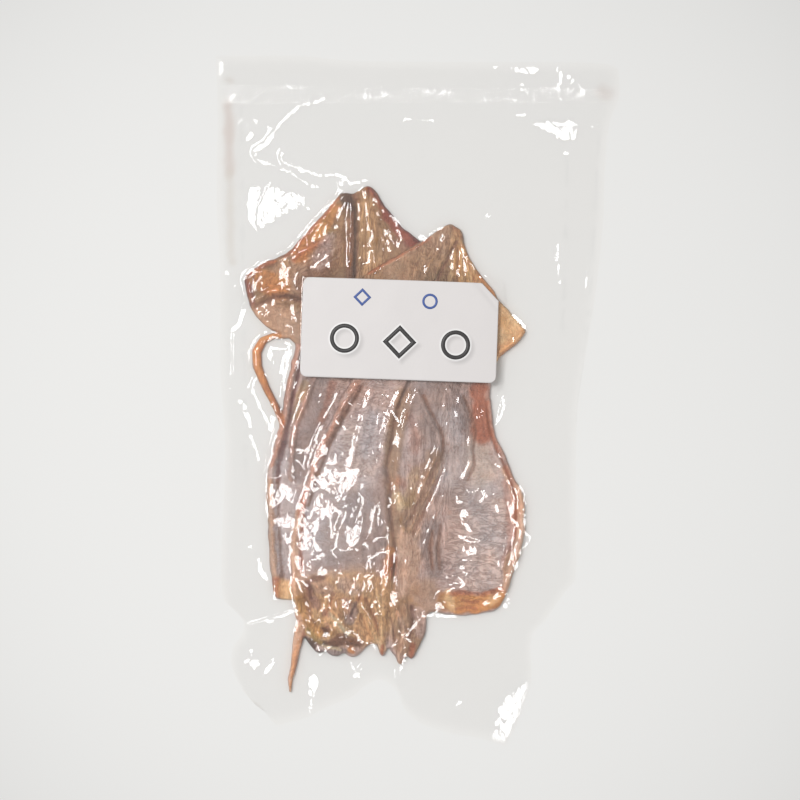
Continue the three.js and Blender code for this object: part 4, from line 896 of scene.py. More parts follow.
# Thin lines of the film that mirror the light: (half width, path).
FILM_GLINTS = [
    # upper film
    (0.7, [(-48.5, 154.5), (-60, 150.5), (-67, 144.5), (-71, 139), (-78, 129), (-83, 126)]),
    (0.5, [(-82.5, 124.5), (-80.5, 121.5), (-68.5, 117), (-55, 110.5), (-45, 106.5)]),
    (0.4, [(-96.5, 152.5), (-94.5, 155.5)]),
    (0.4, [(-86.5, 132), (-85, 135)]),
    (0.6, [(-69.5, 125.5), (-68.5, 121), (-64, 119), (-55, 116.5), (-47, 114.5), (-39, 116),
        (-35.5, 113.5), (-33, 110.5), (-26.5, 112.5), (-23, 112.5)]),
    (0.5, [(-36, 113.5), (-38, 109.5), (-40, 104.5)]),
    (0.5, [(69.5, 177.5), (72, 173), (75.5, 167)]),
    (0.5, [(77, 176), (80, 167.5), (84, 165.5)]),
    (0.4, [(50, 148.5), (64.5, 152)]),
    (0.4, [(-5.5, 145), (10, 145)]),
    (0.5, [(76, 85), (76, 74), (77.5, 62.5)]),
    (0.6, [(91.5, 71), (91.5, 59.5)]),
    # left film
    (0.7, [(-78.5, 8), (-80.5, 4), (-79.5, 0), (-77, -4), (-74, -9), (-72, -13.5), (-70, -19),
        (-68, -12.5)]),
    (0.8, [(-85.5, -4.5), (-83, -10), (-81, -14), (-80, -17.5)]),
    (0.5, [(-80, -22), (-78, -27), (-76, -30), (-75, -34.5)]),
    (0.5, [(-70.5, 24.5), (-62, 24)]),
    (0.5, [(-71, 23.5), (-72, 18.5), (-70, 17), (-69, 14.5)]),
    (0.5, [(-62, 22.5), (-64, 18.5), (-65, 11)]),
    (0.6, [(-69.5, -117.5), (-61.5, -115.5), (-55, -112.5)]),
    (0.5, [(-79.5, -140.5), (-75.5, -134.5)]),
    (0.5, [(-68.5, -146), (-63.5, -138)]),
    # back squid
    (0.5, [(-85.5, 59.5), (-83.5, 63.5), (-79.5, 66), (-76, 68.5), (-72.5, 70)]),
    (0.5, [(-83.5, 60), (-81.5, 63), (-78, 63.5)]),
    (0.7, [(-80, 51), (-79.5, 58), (-78, 61)]),
    (0.7, [(-50, 80.5), (-50, 85), (-48.5, 88), (-46.5, 89.5)]),
    (0.7, [(-53.5, 81.5), (-53, 79.5)]),
    (0.6, [(-80, 41), (-76.5, 43.5)]),
    (0.6, [(-75, 41), (-73, 43.5)]),
    (0.7, [(-60, 41), (-58, 38.5)]),
    (0.5, [(-41, 102.5), (-46, 95.5), (-52.5, 87.5), (-57.5, 81), (-60.5, 75)]),
    (0.6, [(-36.5, 106), (-36, 100.5), (-37.5, 97), (-38.5, 93.5)]),
    (0.7, [(-21, 78.5), (-21.5, 84), (-20.5, 87)]),
    (0.6, [(-8, 87.5), (-6, 85), (-6, 82), (-7, 79)]),
    (0.5, [(-76, 24.5), (-74.5, 28), (-71, 30), (-66.5, 29.5), (-63.5, 27.5), (-60.5, 25.5)]),
    (0.8, [(-74.5, 10.5), (-73.5, 9)]),
    (0.6, [(-69.5, -5), (-67, -8.5), (-64.5, -13), (-63.5, -16)]),
    (0.6, [(-60.5, 25.5), (-62, 18.5), (-63.5, 10.5), (-63.5, 3)]),
    (0.6, [(-56.5, 13.5), (-58, 8), (-58.5, 3)]),
    (0.6, [(-66.5, -20.5), (-68.5, -28.5), (-70, -36.5), (-71, -44.5), (-70, -55), (-69.5, -63)]),
    (0.6, [(-61.5, -53.5), (-59, -54.5), (-56.5, -56.5)]),
    (0.6, [(-65, -96), (-65, -103.5), (-64.5, -106.5)]),
    (0.5, [(-57.5, -15.5), (-58, -23), (-59, -29.5), (-57, -33.5), (-54, -34.5), (-52, -38)]),
    (0.7, [(-57.5, -36), (-57.5, -39)]),
    (0.7, [(-57, -42), (-56.5, -45.5)]),
    # front fins
    (0.5, [(9, 86), (12, 88.5), (16, 90)]),
    (0.6, [(26.5, 80.5), (26, 77), (27.5, 73), (28.5, 68.5), (28.5, 62)]),
    (0.8, [(24.5, 68), (25.5, 62)]),
    (0.5, [(28.5, 75), (30.5, 72), (33.5, 68.5)]),
    (0.6, [(35.5, 64.5), (38.5, 62.5), (40.5, 60.5)]),
    (0.6, [(38.5, 66), (40.5, 63), (42.5, 59.5)]),
    # front mantle, left half
    (0.8, [(-43.5, -15), (-46, -22.5), (-48, -29), (-49, -34), (-50, -41), (-52, -49), (-54, -56),
        (-55.5, -60)]),
    (0.8, [(-56.5, -64.5), (-57.5, -77.5), (-57, -90.5), (-56, -101), (-54.5, -108), (-52.5, -114.5)]),
    (0.6, [(-34, -53.5), (-30, -48.5), (-26, -45.5), (-23.5, -41.5)]),
    (0.5, [(-30, -57), (-27.5, -56), (-25.5, -58)]),
    (0.6, [(-21, -44.5), (-22.5, -49), (-21, -51.5), (-21.5, -56), (-22.5, -61), (-24, -64.5)]),
    (0.6, [(-23, -52), (-24, -56), (-25, -59.5)]),
    (0.6, [(-25.5, -60.5), (-27.5, -64.5), (-28, -68.5), (-25.5, -68.5), (-23, -66), (-21.5, -63)]),
    (0.6, [(-28.5, -60.5), (-31, -65.5), (-32.5, -68.5)]),
    (0.6, [(-31.5, -59), (-33, -64), (-34.5, -68.5), (-36.5, -74)]),
    (0.6, [(-33, -69.5), (-34, -76), (-35, -79.5), (-33, -83)]),
    (0.6, [(-31, -79), (-28, -78.5), (-22, -78)]),
    (0.7, [(-13.5, -55.5), (-14.5, -58), (-15, -61), (-16.5, -66.5), (-17.5, -71), (-18, -74.5),
        (-19, -75.5), (-16.5, -78)]),
    (0.6, [(-13, -55), (-12, -57), (-12.5, -61), (-13, -66), (-11, -64.5)]),
    (0.6, [(-7.5, -50.5), (-6.5, -54), (-7.5, -56.5)]),
    (0.5, [(-5, -44.5), (-4.5, -50), (-4.5, -53.5)]),
    (0.6, [(-7, -66.5), (-7.5, -71.5), (-11, -71.5), (-13.5, -73.5)]),
    (0.5, [(-4, -71), (-2, -76.5), (-3, -81), (-4.5, -88)]),
    (0.6, [(-47, -81.5), (-43, -83), (-39.5, -81.5)]),
    (0.5, [(-45.5, -90.5), (-47.5, -87.5), (-46.5, -85), (-42.5, -84), (-39.5, -82.5)]),
    (0.5, [(-50.5, -85.5), (-49, -89.5), (-46.5, -91)]),
    (0.7, [(-53.5, -94), (-52, -99), (-50, -102)]),
    (0.5, [(-52.5, -94), (-48, -97.5)]),
    (0.6, [(-31.5, -85.5), (-34, -90)]),
    (0.5, [(-31, -90.5), (-33, -96.5)]),
    (0.6, [(-12.5, 2), (-9, 1)]),
    (0.6, [(-8, -6.5), (-6, -9), (-4, -11.5)]),
    (0.5, [(-10, -7.5), (-8, -10.5)]),
    (0.6, [(-35.5, -12), (-31, -16)]),
    (0.5, [(-29.5, -2.5), (-28, -4.5)]),
    (0.8, [(-6.5, -78.5), (-11, -80.5), (-16, -83.5), (-18, -87.5)]),
    (0.7, [(-6.5, -79), (-6.5, -85), (-7, -91.5), (-7.5, -98.5), (-9.5, -102)]),
    (0.6, [(-8.5, -83), (-9, -89), (-10, -95.5)]),
    (0.6, [(-15.5, -84), (-15, -90.5), (-16, -96), (-17.5, -99.5)]),
    (0.5, [(-16.5, -90.5), (-19, -93)]),
    (0.5, [(-17.5, -93.5), (-19.5, -100), (-20.5, -102.5)]),
    (0.6, [(-21.5, -91), (-23, -96.5), (-25, -101)]),
    (0.5, [(-23.5, -93.5), (-23, -99)]),
    (0.5, [(-14.5, -95.5), (-15.5, -102.5)]),
    # head and points
    (0.35, [(-40.5, -114), (-39, -109), (-39, -104.5), (-37, -103), (-36.5, -107), (-34, -112)]),
    (0.35, [(-53.5, -110.5), (-49, -115.5), (-44, -117.5), (-40, -115.5)]),
    (0.35, [(-49.5, -117.5), (-47, -122.5), (-43.5, -126.5), (-39, -128.5)]),
    (0.35, [(-38.5, -123.5), (-33.5, -126.5), (-29, -124), (-25, -121.5), (-21, -122)]),
    (0.35, [(-34, -105.5), (-30, -110.5), (-27, -114.5)]),
    (0.35, [(-31.5, -114), (-28, -118), (-25, -122)]),
    (0.35, [(-20, -105), (-16, -112), (-13.5, -119.5)]),
    (0.35, [(-12, -102.5), (-9.5, -108), (-8.5, -114)]),
    (0.35, [(-49, -105), (-46.5, -109), (-46.5, -114.5)]),
    (0.35, [(-38, -130.5), (-34, -129), (-29, -130.5)]),
    (0.35, [(-41, -134.5), (-37, -131.5), (-32, -132.5)]),
    (0.35, [(-27.5, -127.5), (-23.5, -130), (-20.5, -133)]),
    (0.35, [(0, -119), (3.5, -123), (7.5, -125)]),
    (0.45, [(-25.5, -105), (-27.5, -109.5)]),
    (0.45, [(-27, -121.5), (-24, -121.5), (-21, -123.5), (-19.5, -125.5)]),
    (0.45, [(-20.5, -126.5), (-16.5, -127), (-13, -127)]),
    (0.7, [(-37, -123), (-35, -124)]),
    (0.7, [(-42, -129), (-40.5, -132)]),
    (0.35, [(-39, -132), (-41, -136)]),
    (0.35, [(-23.5, -138), (-19, -145)]),
    (0.35, [(-22, -145), (-18, -140)]),
    (0.7, [(13.5, -110.5), (9, -116), (5, -122.5)]),
    (0.7, [(13.5, -112.5), (21.5, -111), (30.5, -111.5)]),
    (0.35, [(-1.5, -139.5), (-0.5, -144.5)]),
    # front mantle, right half
    (0.5, [(32.5, -45.5), (35.5, -47), (38, -46.5), (40, -44.5)]),
    (0.5, [(41, -46.5), (41.5, -49.5), (39.5, -51)]),
    (0.6, [(42.5, -46), (43, -48.5), (40, -52)]),
    (0.6, [(49, -53), (49.5, -56.5)]),
    (0.6, [(31, -60), (33.5, -64.5), (36.5, -67.5)]),
    (0.6, [(30.5, -69.5), (34.5, -70), (39.5, -70.5)]),
    (0.5, [(31, -71), (35.5, -72.5), (40.5, -71.5)]),
    (0.6, [(31.5, -74), (32.5, -77)]),
    (0.6, [(32, -82), (36.5, -82.5)]),
    (0.6, [(32.5, -88), (34.5, -89.5)]),
    (0.6, [(23.5, -91.5), (28.5, -91), (32, -92.5), (33, -94.5), (30, -96.5), (24.5, -99)]),
    (0.5, [(26, -95.5), (29, -94), (32, -93.5)]),
    (0.5, [(21.5, -98), (18, -102), (19, -104.5)]),
    (0.5, [(20, 7), (22, 5)]),
    (0.6, [(26.5, 2), (27, 0)]),
    (0.6, [(25.5, -5), (26.5, -7.5)]),
    (0.5, [(47.5, -32.5), (50, -34)]),
    # right rim
    (0.6, [(51.5, -37), (54.5, -41), (56.5, -44), (57.5, -50.5), (57, -54.5), (56.5, -58.5),
        (58.5, -63), (58, -68.5), (57, -72.5), (57.5, -79), (56.5, -84.5)]),
    (0.5, [(55.5, -37.5), (58, -43.5), (60, -48.5), (59.5, -54.5), (60.5, -58), (61.5, -63),
        (61.5, -68.5), (60, -73.5), (59.5, -79), (58.5, -85.5)]),
    (0.6, [(60.5, -42.5), (63, -47.5), (64, -51.5), (63.5, -56.5), (64, -62.5), (64, -67), (67, -71),
        (63, -75.5), (61, -79.5), (60, -86.5)]),
    (0.5, [(58, -87), (57, -90.5)]),
    (0.5, [(56.5, -96), (55.5, -99.5)]),
    (0.8, [(56, -102.5), (54.5, -106)]),
    (0.6, [(50, 3), (50.5, -1.5), (49, -7), (47.5, -11.5)]),
]

# Parts of the welded band where its knurls mirror the light: (half width, path).
KNURLED = [
    (1.6, [(-68, 159.5), (-60, 160.5)]),
    (2.2, [(-27, 157), (-6, 159), (16.5, 160.5)]),
    (3.2, [(53, 163), (72, 164.5), (91, 163)]),
    (1.4, [(17.5, 155.5), (43.5, 158), (74.5, 158.5)]),
    (1.2, [(84.5, 144.5), (95, 145)]),
]

# Parts of the film over the squid that are hazier, a painted sheen where the film's glare lies: (centre
# and radii, veil).
SHEEN_HAZES = [
    ((-34, -48, 24, 44), 0.06),
    ((-28, -84, 26, 26), 0.05),
    ((-62, -50, 10, 50), 0.07),
    ((38, -52, 20, 40), 0.06),
    ((12, -24, 20, 30), 0.04),
]

# Stains and dull lines of the film: (colour, half width, softness, strength, path).
FILM_STAINS = [
    ((0.90, 0.83, 0.80), 2.2, 4.0, 0.6, [(-97.5, 149.5), (-97, 131.5), (-95.5, 115)]),
    ((0.94, 0.91, 0.88), 1.6, 4.0, 0.6, [(-96, 115), (-94, 85), (-93, 68.5)]),
    ((0.92, 0.88, 0.86), 3.0, 4.0, 0.6, [(96.5, 163.5), (99, 162.5)]),
    ((0.965, 0.962, 0.958), 0.5, 0.8, 0.8, [(78.5, 137.5), (80, 80.5), (80, 17)]),
    ((0.975, 0.972, 0.968), 0.5, 0.8, 0.8, [(95.5, 156), (93.5, 55), (89, -7.5)]),
    ((0.975, 0.972, 0.968), 0.5, 0.8, 0.8, [(-91, 148.5), (-86.5, 48.5), (-82, -45)]),
    ((0.90, 0.86, 0.83), 1.6, 3.0, 0.5, [(-99, 163), (-97, 162)]),
]


# ---------------------------------------------------------------- numbers

def smoothstep(low, high, value):
    """0 at low, 1 at high, eased between them and flat beyond."""
    t = np.clip((value - low) / (high - low), 0, 1)
    return t * t * (3 - 2 * t)


def blend(first, second, share):
    """The first value at a share of 0, and the second at 1."""
    return first + (second - first) * share


def curve(points, t):
    """A smooth line through (t, value) points, flat beyond its ends."""
    ts, values = np.array(points, float).T
    last = len(ts) - 1
    index = np.arange(last + 1)
    before, after = np.maximum(index - 1, 0), np.minimum(index + 1, last)
    slopes = (values[after] - values[before]) / (ts[after] - ts[before])
    t = np.clip(t, ts[0], ts[-1])
    i = np.clip(np.searchsorted(ts, t, "right") - 1, 0, last - 1)
    span = ts[i + 1] - ts[i]
    s = (t - ts[i]) / span
    eased = s * s * (3 - 2 * s)
    bulge = s * (1 - s) * ((1 - s) * slopes[i] - s * slopes[i + 1]) * span
    return blend(values[i], values[i + 1], eased) + bulge


def noise(x, y, seed):
    """Smooth random values from -1 to 1, with one bump to each unit."""
    lattice = np.random.default_rng(seed).uniform(-1, 1, (LATTICE, LATTICE))
    i, j = np.floor(x).astype(int), np.floor(y).astype(int)
    s, t = (f * f * f * (f * (f * 6 - 15) + 10) for f in (x - i, y - j))

    def row(k):
        return lattice[i % LATTICE, k % LATTICE] * (1 - s) + lattice[(i + 1) % LATTICE, k % LATTICE] * s
    return row(j) * (1 - t) + row(j + 1) * t


def cloud(x, y, size, seed, octaves=3):
    """Noise of several sizes, the largest of size millimetres."""
    total = 0
    for octave in range(octaves):
        total = total + noise(x / size, y / size, seed + octave) * OCTAVE_FADE ** octave
        size = size / OCTAVE_SHRINK
    return total


def ripples(x, y, layers, seed):
    """A sum of noises given as (size across, size along, seed, strength)."""
    return sum(strength * noise(x / across, y / along, seed + own)
               for across, along, own, strength in layers)


def spot(x, y, patch, core):
    """1 inside the core of an elliptical patch (centre, radii), fading to 0 at its border."""
    cx, cy, rx, ry = patch
    return smoothstep(1, core, ((x - cx) / rx) ** 2 + ((y - cy) / ry) ** 2)


def along_segment(x, y, a, b):
    """The share of the way from a to b that is nearest to each point, and the distance from it."""
    dx, dy = b[0] - a[0], b[1] - a[1]
    t = np.clip(((x - a[0]) * dx + (y - a[1]) * dy) / (dx * dx + dy * dy), 0, 1)
    return t, np.hypot(x - a[0] - t * dx, y - a[1] - t * dy)


def path_distance(x, y, path):
    nearest = np.full(x.shape, np.inf)
    for a, b in zip(path[:-1], path[1:]):
        nearest = np.minimum(nearest, along_segment(x, y, a, b)[1])
    return nearest


def nearest_point(x, y, path):
    """The distance of each point from a path, and the place on the path that is nearest."""
    nearest, on_x, on_y = np.full(x.shape, np.inf), x.copy(), y.copy()
    for a, b in zip(path[:-1], path[1:]):
        t, distance = along_segment(x, y, a, b)
        nearer = distance < nearest
        nearest = np.where(nearer, distance, nearest)
        on_x = np.where(nearer, blend(a[0], b[0], t), on_x)
        on_y = np.where(nearer, blend(a[1], b[1], t), on_y)
    return nearest, on_x, on_y


def in_box(x, y, points, reach):
    """Which places lie in the box of some points, grown by reach."""
    low, high = np.min(points, axis=0) - reach, np.max(points, axis=0) + reach
    return (x > low[0]) & (x < high[0]) & (y > low[1]) & (y < high[1])


def near_path(x, y, path, reach):
    """Which places lie in a path's box grown by reach, and their distances from the path."""
    near = in_box(x, y, path, reach)
    return near, path_distance(x[near], y[near], path)


def rounded(points):
    """A closed outline with its corners cut twice."""
    points = np.array(points, float)
    for _ in range(2):
        after = np.roll(points, -1, axis=0)
        cuts = [0.75 * points + 0.25 * after, 0.25 * points + 0.75 * after]
        points = np.stack(cuts, 1).reshape(-1, 2)
    return points


def area_depth(x, y, outline):
    """The depth of each point inside a closed outline, negative outside."""
    closed = np.vstack([outline, outline[:1]])
    inside = np.zeros(x.shape, bool)
    for (ax, ay), (bx, by) in zip(closed[:-1], closed[1:]):
        if ay != by:
            crosses = (ay > y) != (by > y)
            inside ^= crosses & (x < ax + (bx - ax) * (y - ay) / (by - ay))
    distance = path_distance(x, y, closed)
    return np.where(inside, distance, -distance)


def strand_depth(x, y, path):
    """The depth inside a strand whose half width runs along its path."""
    deepest = np.full(x.shape, -np.inf)
    for a, b in zip(path[:-1], path[1:]):
        t, distance = along_segment(x, y, a, b)
        deepest = np.maximum(deepest, blend(a[2], b[2], t) - distance)
    return deepest


def neighbours(field):
    """The sum of the four neighbours of each inner node of a grid."""
    return field[:-2, 1:-1] + field[2:, 1:-1] + field[1:-1, :-2] + field[1:-1, 2:]


def smoothed(field, rounds):
    for _ in range(rounds):
        field = (neighbours(np.pad(field, 1, mode="edge")) + 4 * field) / 8
    return field


def sampled(field, x, y, cell=CELL):
    """The values of a grid between its nodes."""
    u = np.clip((x - XS[0]) / cell, 0, field.shape[1] - 1.001)
    v = np.clip((y - YS[0]) / cell, 0, field.shape[0] - 1.001)
    i, j = u.astype(int), v.astype(int)
    s, t = u - i, v - j
    low = field[j, i] * (1 - s) + field[j, i + 1] * s
    high = field[j + 1, i] * (1 - s) + field[j + 1, i + 1] * s
    return low * (1 - t) + high * t


def add_relief(height, x, y, relief):
    """Adds round ridges, or grooves where the rise is negative."""
    for half, rise, path in relief:
        near, distance = near_path(x, y, path, half)
        t = np.clip(distance / half, 0, 1)
        height[near] += rise * (1 - t * t) ** 1.5


def lay_stroke(colours, x, y, colour, shape, waves, reach):
    """Lays a soft stroke of one colour. Its shape is (half width, softness, strength, path)."""
    half, soft, strength, path = shape
    near, distance = near_path(x, y, path, half + soft + reach)
    cover = strength * smoothstep(half + soft / 2, half - soft / 2, distance + waves[near])
    colours[near] += cover[:, None] * (colour - colours[near])


# ---------------------------------------------------------------- squid

def sheet_depth(outline, strands, seed):
    """A function that gives the depth of points inside a sheet with its strands."""
    smooth_outline = rounded(outline)

    def depth(x, y):
        size, rise = OUTLINE_WAVES
        deepest = area_depth(x, y, smooth_outline) + rise * cloud(x, y, size, seed, 2)
        size, rise = STRAND_WAVES
        for strand in strands:
            wobble = rise * noise(x / size, y / size, STRAND_SEED)
            deepest = np.maximum(deepest, strand_depth(x, y, strand) + wobble)
        return deepest
    return depth


def on_grid(depth, outline, strands):
    """The depths on the grid, worked out near the sheet only."""
    points = outline + [point[:2] for strand in strands for point in strand]
    near = in_box(GRID_X, GRID_Y, points, FAR_OUTSIDE)
    field = np.full(GRID_X.shape, -FAR_OUTSIDE)
    field[near] = depth(GRID_X[near], GRID_Y[near])
    return field


def add_wrinkles(height, patches, seed):
    """Adds patches of fine folds, each turned its own way and bent a little."""
    for patch, turn, length, spacing, rise in patches:
        seed += 1
        cx, cy, rx, ry = patch
        near = (abs(GRID_X - cx) < rx) & (abs(GRID_Y - cy) < ry)
        x, y = GRID_X[near] - cx, GRID_Y[near] - cy
        c, s = math.cos(math.radians(turn)), math.sin(math.radians(turn))
        along = (x * c + y * s) + ripples(x, y, WRINKLE_BEND_ALONG, seed)
        across = (y * c - x * s) + ripples(x, y, WRINKLE_BEND_ACROSS, seed)
        folds = 0.5 - abs(noise(along / length, across / spacing, seed))
        height[near] += spot(GRID_X[near], GRID_Y[near], patch, PATCH_CORE) * rise * folds


def round_edge(depth):
    """The share of a sheet's thickness at a depth inside its outline."""
    t = np.clip(1 - depth / EDGE_ROUND, 0, 1)
    return np.sqrt(1 - t * t)


def flesh_top(depth, under, thickness, relief, wrinkles, seed, hidden=0.0):
    """The upper face of a sheet that lies on under. Where it is hidden it is plain, and thins out."""
    size, rise = FLESH_SWELLS
    bumps = rise * cloud(GRID_X, GRID_Y, size, seed) + ripples(GRID_X, GRID_Y, FLESH_RIPPLES, seed)
    add_relief(bumps, GRID_X, GRID_Y, relief)
    add_wrinkles(bumps, wrinkles, seed + 100)
    inner = smoothstep(0, RELIEF_DEPTH, depth) * (1 - hidden)
    return under + thickness * round_edge(depth / (1 + HIDDEN_TAPER * hidden)) + inner * bumps


def label_rest(x, y):
    """The film under the label: crowned, with the upper right corner bent down."""
    across = (x - LABEL_CROWN_MIDDLE) / LABEL_CROWN_HALF
    from_corner = (LABEL["right"] - x) + (LABEL["high"] - y)
    bend = 1 - smoothstep(0, LABEL_BEND_REACH, from_corner)
    return LABEL_LOW + LABEL_CROWN * (1 - across * across) - LABEL_BEND_DROP * bend


def label_depth(x, y):
    """How far a point lies inside the label's rectangle."""
    in_x = np.minimum(x - LABEL["left"], LABEL["right"] - x)
    in_y = np.minimum(y - LABEL["low"], LABEL["high"] - y)
    return np.minimum(in_x, in_y)


def pressed(top, lower):
    """A squid's upper face, kept below the film that the label presses flat."""
    under_label = smoothstep(-LABEL_BORDER, 0, label_depth(GRID_X, GRID_Y))
    limit = label_rest(GRID_X, GRID_Y) - FILM_CLEARANCE - lower + (1 - under_label) * BORDER_SLACK
    return np.where(under_label > 0, np.minimum(top, limit), top)


back_depth = sheet_depth(BACK_OUTLINE, BACK_STRANDS, BACK_EDGE_SEED)
front_depth = sheet_depth(FRONT_OUTLINE, FRONT_STRANDS, FRONT_EDGE_SEED)
BACK_DEPTH = on_grid(back_depth, BACK_OUTLINE, BACK_STRANDS)
FRONT_DEPTH = on_grid(front_depth, FRONT_OUTLINE, FRONT_STRANDS)

# The back squid lies on the table, and the front one on both.
BACK_UNDER = np.full(GRID_X.shape, TABLE_GAP)
hidden = smoothstep(HIDDEN_FROM, HIDDEN_FULLY, FRONT_DEPTH)
back_top = flesh_top(BACK_DEPTH, BACK_UNDER, BACK_FLESH, BACK_RELIEF, BACK_WRINKLES, BACK_SEED, hidden)
back_cover = np.where(BACK_DEPTH > 0, back_top, TABLE_GAP)
FRONT_UNDER = np.maximum(smoothed(back_cover, DRAPE_BLUR), back_cover + CONTACT_GAP)
front_top = flesh_top(FRONT_DEPTH, FRONT_UNDER, FRONT_FLESH, FRONT_RELIEF, FRONT_WRINKLES, FRONT_SEED)
BACK_TOP = pressed(back_top, lower=BACK_LOWER)
FRONT_TOP = pressed(front_top, lower=0)


def linear(colour):
    """sRGB numbers from 0 to 255 as linear light."""
    c = np.asarray(colour, float) / 255
    return np.where(c <= 0.04045, c / 12.92, ((c + 0.055) / 1.055) ** 2.4)


def albedo(hue):
    """The flesh colour that shows as a hue through the film's haze and two passes."""
    return np.clip((linear(HUES[hue]) - VEIL) / CLEARNESS, *ALBEDO_LIMITS)


def painted(strokes, top, seed):
    """Colours on the grid: a ground, soft strokes over it, painted shade in the folds' hollows and
    painted light on their ridges, then fibres and mottling.
    """
    colours = np.tile(albedo(GROUND), GRID_X.shape + (1,))
    waves = cloud(GRID_X, GRID_Y, STROKE_WAVES, seed)
    for hue, *shape in strokes:
        own_waves = waves * min(1.0, shape[0] / 2)
        lay_stroke(colours, GRID_X, GRID_Y, albedo(hue), shape, own_waves, STROKE_REACH)
    # Painted shade and light: darker where the top lies below its blurred self, lighter where it stands
    # above it.
    folds = np.clip((top - smoothed(top, FOLD_BLUR)) / FOLD_HEIGHT, -1, 1)
    fibres = ripples(GRID_X, GRID_Y, FIBRES, seed)
    mottle = cloud(GRID_X, GRID_Y, MOTTLE_SIZE, seed + 5)
    value = 1 + FOLD_PAINTED_SHADE_AND_LIGHT * folds + FIBRE_SHADE * fibres + MOTTLE_SHADE * mottle
    warm = WARMTH * cloud(GRID_X, GRID_Y, WARMTH_SIZE, seed + 6, 2)
    colours *= value[..., None]
    colours *= np.stack([1 + warm, np.ones_like(warm), 1 - warm], -1)
    return np.clip(colours, *TONE_LIMITS)


def woven():
    """The three shares of WEAVE on the grid."""
    shares = np.zeros(GRID_X.shape + (3,))
    for patch, *amounts in WEAVE:
        shares = blend(shares, np.array(amounts), spot(GRID_X, GRID_Y, patch, PATCH_CORE)[..., None])
    return shares


# ---------------------------------------------------------------- meshes

def mesh_piece(name, vertices, faces, colours=None):
    """A smooth shaded object from millimetres, with an optional colour for each vertex."""
    mesh = bpy.data.meshes.new(name)
    mesh.from_pydata((np.asarray(vertices) * MM).tolist(), [], [list(face) for face in faces])
    mesh.update()
    mesh.polygons.foreach_set("use_smooth", np.ones(len(mesh.polygons), bool))
    for layer, values in (colours or {}).items():
        attribute = mesh.color_attributes.new(layer, "FLOAT_COLOR", "POINT")
        rgba = np.ones((len(mesh.vertices), 4))
        rgba[:, :3] = values
        attribute.data.foreach_set("color", rgba.ravel())
    piece = bpy.data.objects.new(name, mesh)
    bpy.context.scene.collection.objects.link(piece)
    return piece


# The order in which a cell's corners are taken to face the other way.
TURNED = [0, 3, 2, 1]


def cell_corners(grid):
    """The values at the four corners of each cell of a grid, anticlockwise."""
    return np.stack([grid[:-1, :-1], grid[:-1, 1:], grid[1:, 1:], grid[1:, :-1]], -1)


def quads(index):
    """The faces of a grid of corner numbers."""
    return cell_corners(index).reshape(-1, 4)


def border(index):
    """The corner numbers round a grid, anticlockwise."""
    return np.concatenate([index[0, :-1], index[:-1, -1], index[-1, :0:-1], index[:0:-1, 0]])


def points_of(x, y, z):
    return np.stack([x, y, z], -1).reshape(-1, 3)


def sheet_cells(depth):
    """The cells inside a sheet, the nodes that they use, and those of them on its rim."""
    corners = cell_corners(depth)
    kept = (corners.mean(axis=-1) > 0) & (corners.min(axis=-1) > -CELL_REACH * CELL)
    touching = cell_corners(np.pad(kept, 1))
    used = touching.any(axis=-1)
    return kept, used, used & ~touching.all(axis=-1)


def drawn_to_outline(depth_of, depth, rim):
    """The places of the grid's nodes, with those of the rim moved on to the sheet's outline."""
    x, y = GRID_X.copy(), GRID_Y.copy()
    slope_y, slope_x = np.gradient(depth, CELL)
    steepness = np.maximum(slope_x ** 2 + slope_y ** 2, LEAST_STEEPNESS)
    for step in RIM_STEPS:
        miss = step * depth_of(x[rim], y[rim])
        x[rim] -= miss * (slope_x / steepness)[rim]
        y[rim] -= miss * (slope_y / steepness)[rim]
    return x, y


def sheet_piece(name, depth_of, depth, under, top, colours, weave):
    """A closed body over the cells of the grid that lie inside a sheet, with a shared rim."""
    kept, used, rim = sheet_cells(depth)
    inner = used & ~rim
    x, y = drawn_to_outline(depth_of, depth, rim)
    upper_z = np.where(rim, under + EDGE_MIDDLE, top)
    lower_z = under + EDGE_MIDDLE * (1 - round_edge(depth))
    vertices = np.vstack([
        points_of(x[used], y[used], upper_z[used]),
        points_of(x[inner], y[inner], lower_z[inner]),
    ])
    upper_index = np.full(used.shape, -1)
    upper_index[used] = np.arange(used.sum())
    lower_index = upper_index.copy()
    lower_index[inner] = used.sum() + np.arange(inner.sum())
    upper, lower = cell_corners(upper_index)[kept], cell_corners(lower_index)[kept]
    all_rim = (upper == lower).all(axis=1)
    faces = np.vstack([upper, lower[~all_rim, ::-1]])
    layers = {"tone": colours, "weave": weave}
    layers = {layer: np.vstack([values[used], values[inner]]) for layer, values in layers.items()}
    return mesh_piece(name, vertices, faces, layers)


# ---------------------------------------------------------------- film

def stations(runs):
    """Fractions from 0 to 1, in runs of even cells given as (end, cells)."""
    values = [0.0]
    for end, cells in runs:
        values += list(np.linspace(values[-1], end, cells + 1)[1:])
    return np.array(values)


def on_edge(points, share):
    """The place at a share of an edge's length, as the edge's own (along, across)."""
    along = blend(points[0][0], points[-1][0], share)
    return along, curve(points, along)


def footprint(u, v):
    """A point of the bag's footprint, blended from its four edges."""
    left_y, left_x = on_edge(LEFT_EDGE, v)
    right_y, right_x = on_edge(RIGHT_EDGE, v)
    bottom_x, bottom_y = on_edge(BOTTOM_EDGE, u)
    top_x, top_y = on_edge(TOP_EDGE, u)
    corners = zip(BOTTOM_EDGE[0], BOTTOM_EDGE[-1], TOP_EDGE[0], TOP_EDGE[-1])
    sides = ((left_x, right_x, bottom_x, top_x), (left_y, right_y, bottom_y, top_y))
    places = []
    for (a, b, c, d), (left, right, low, high) in zip(corners, sides):
        counted_twice = blend(blend(a, b, u), blend(c, d, u), v)
        places.append(blend(left, right, u) + blend(low, high, v) - counted_twice)
    return places


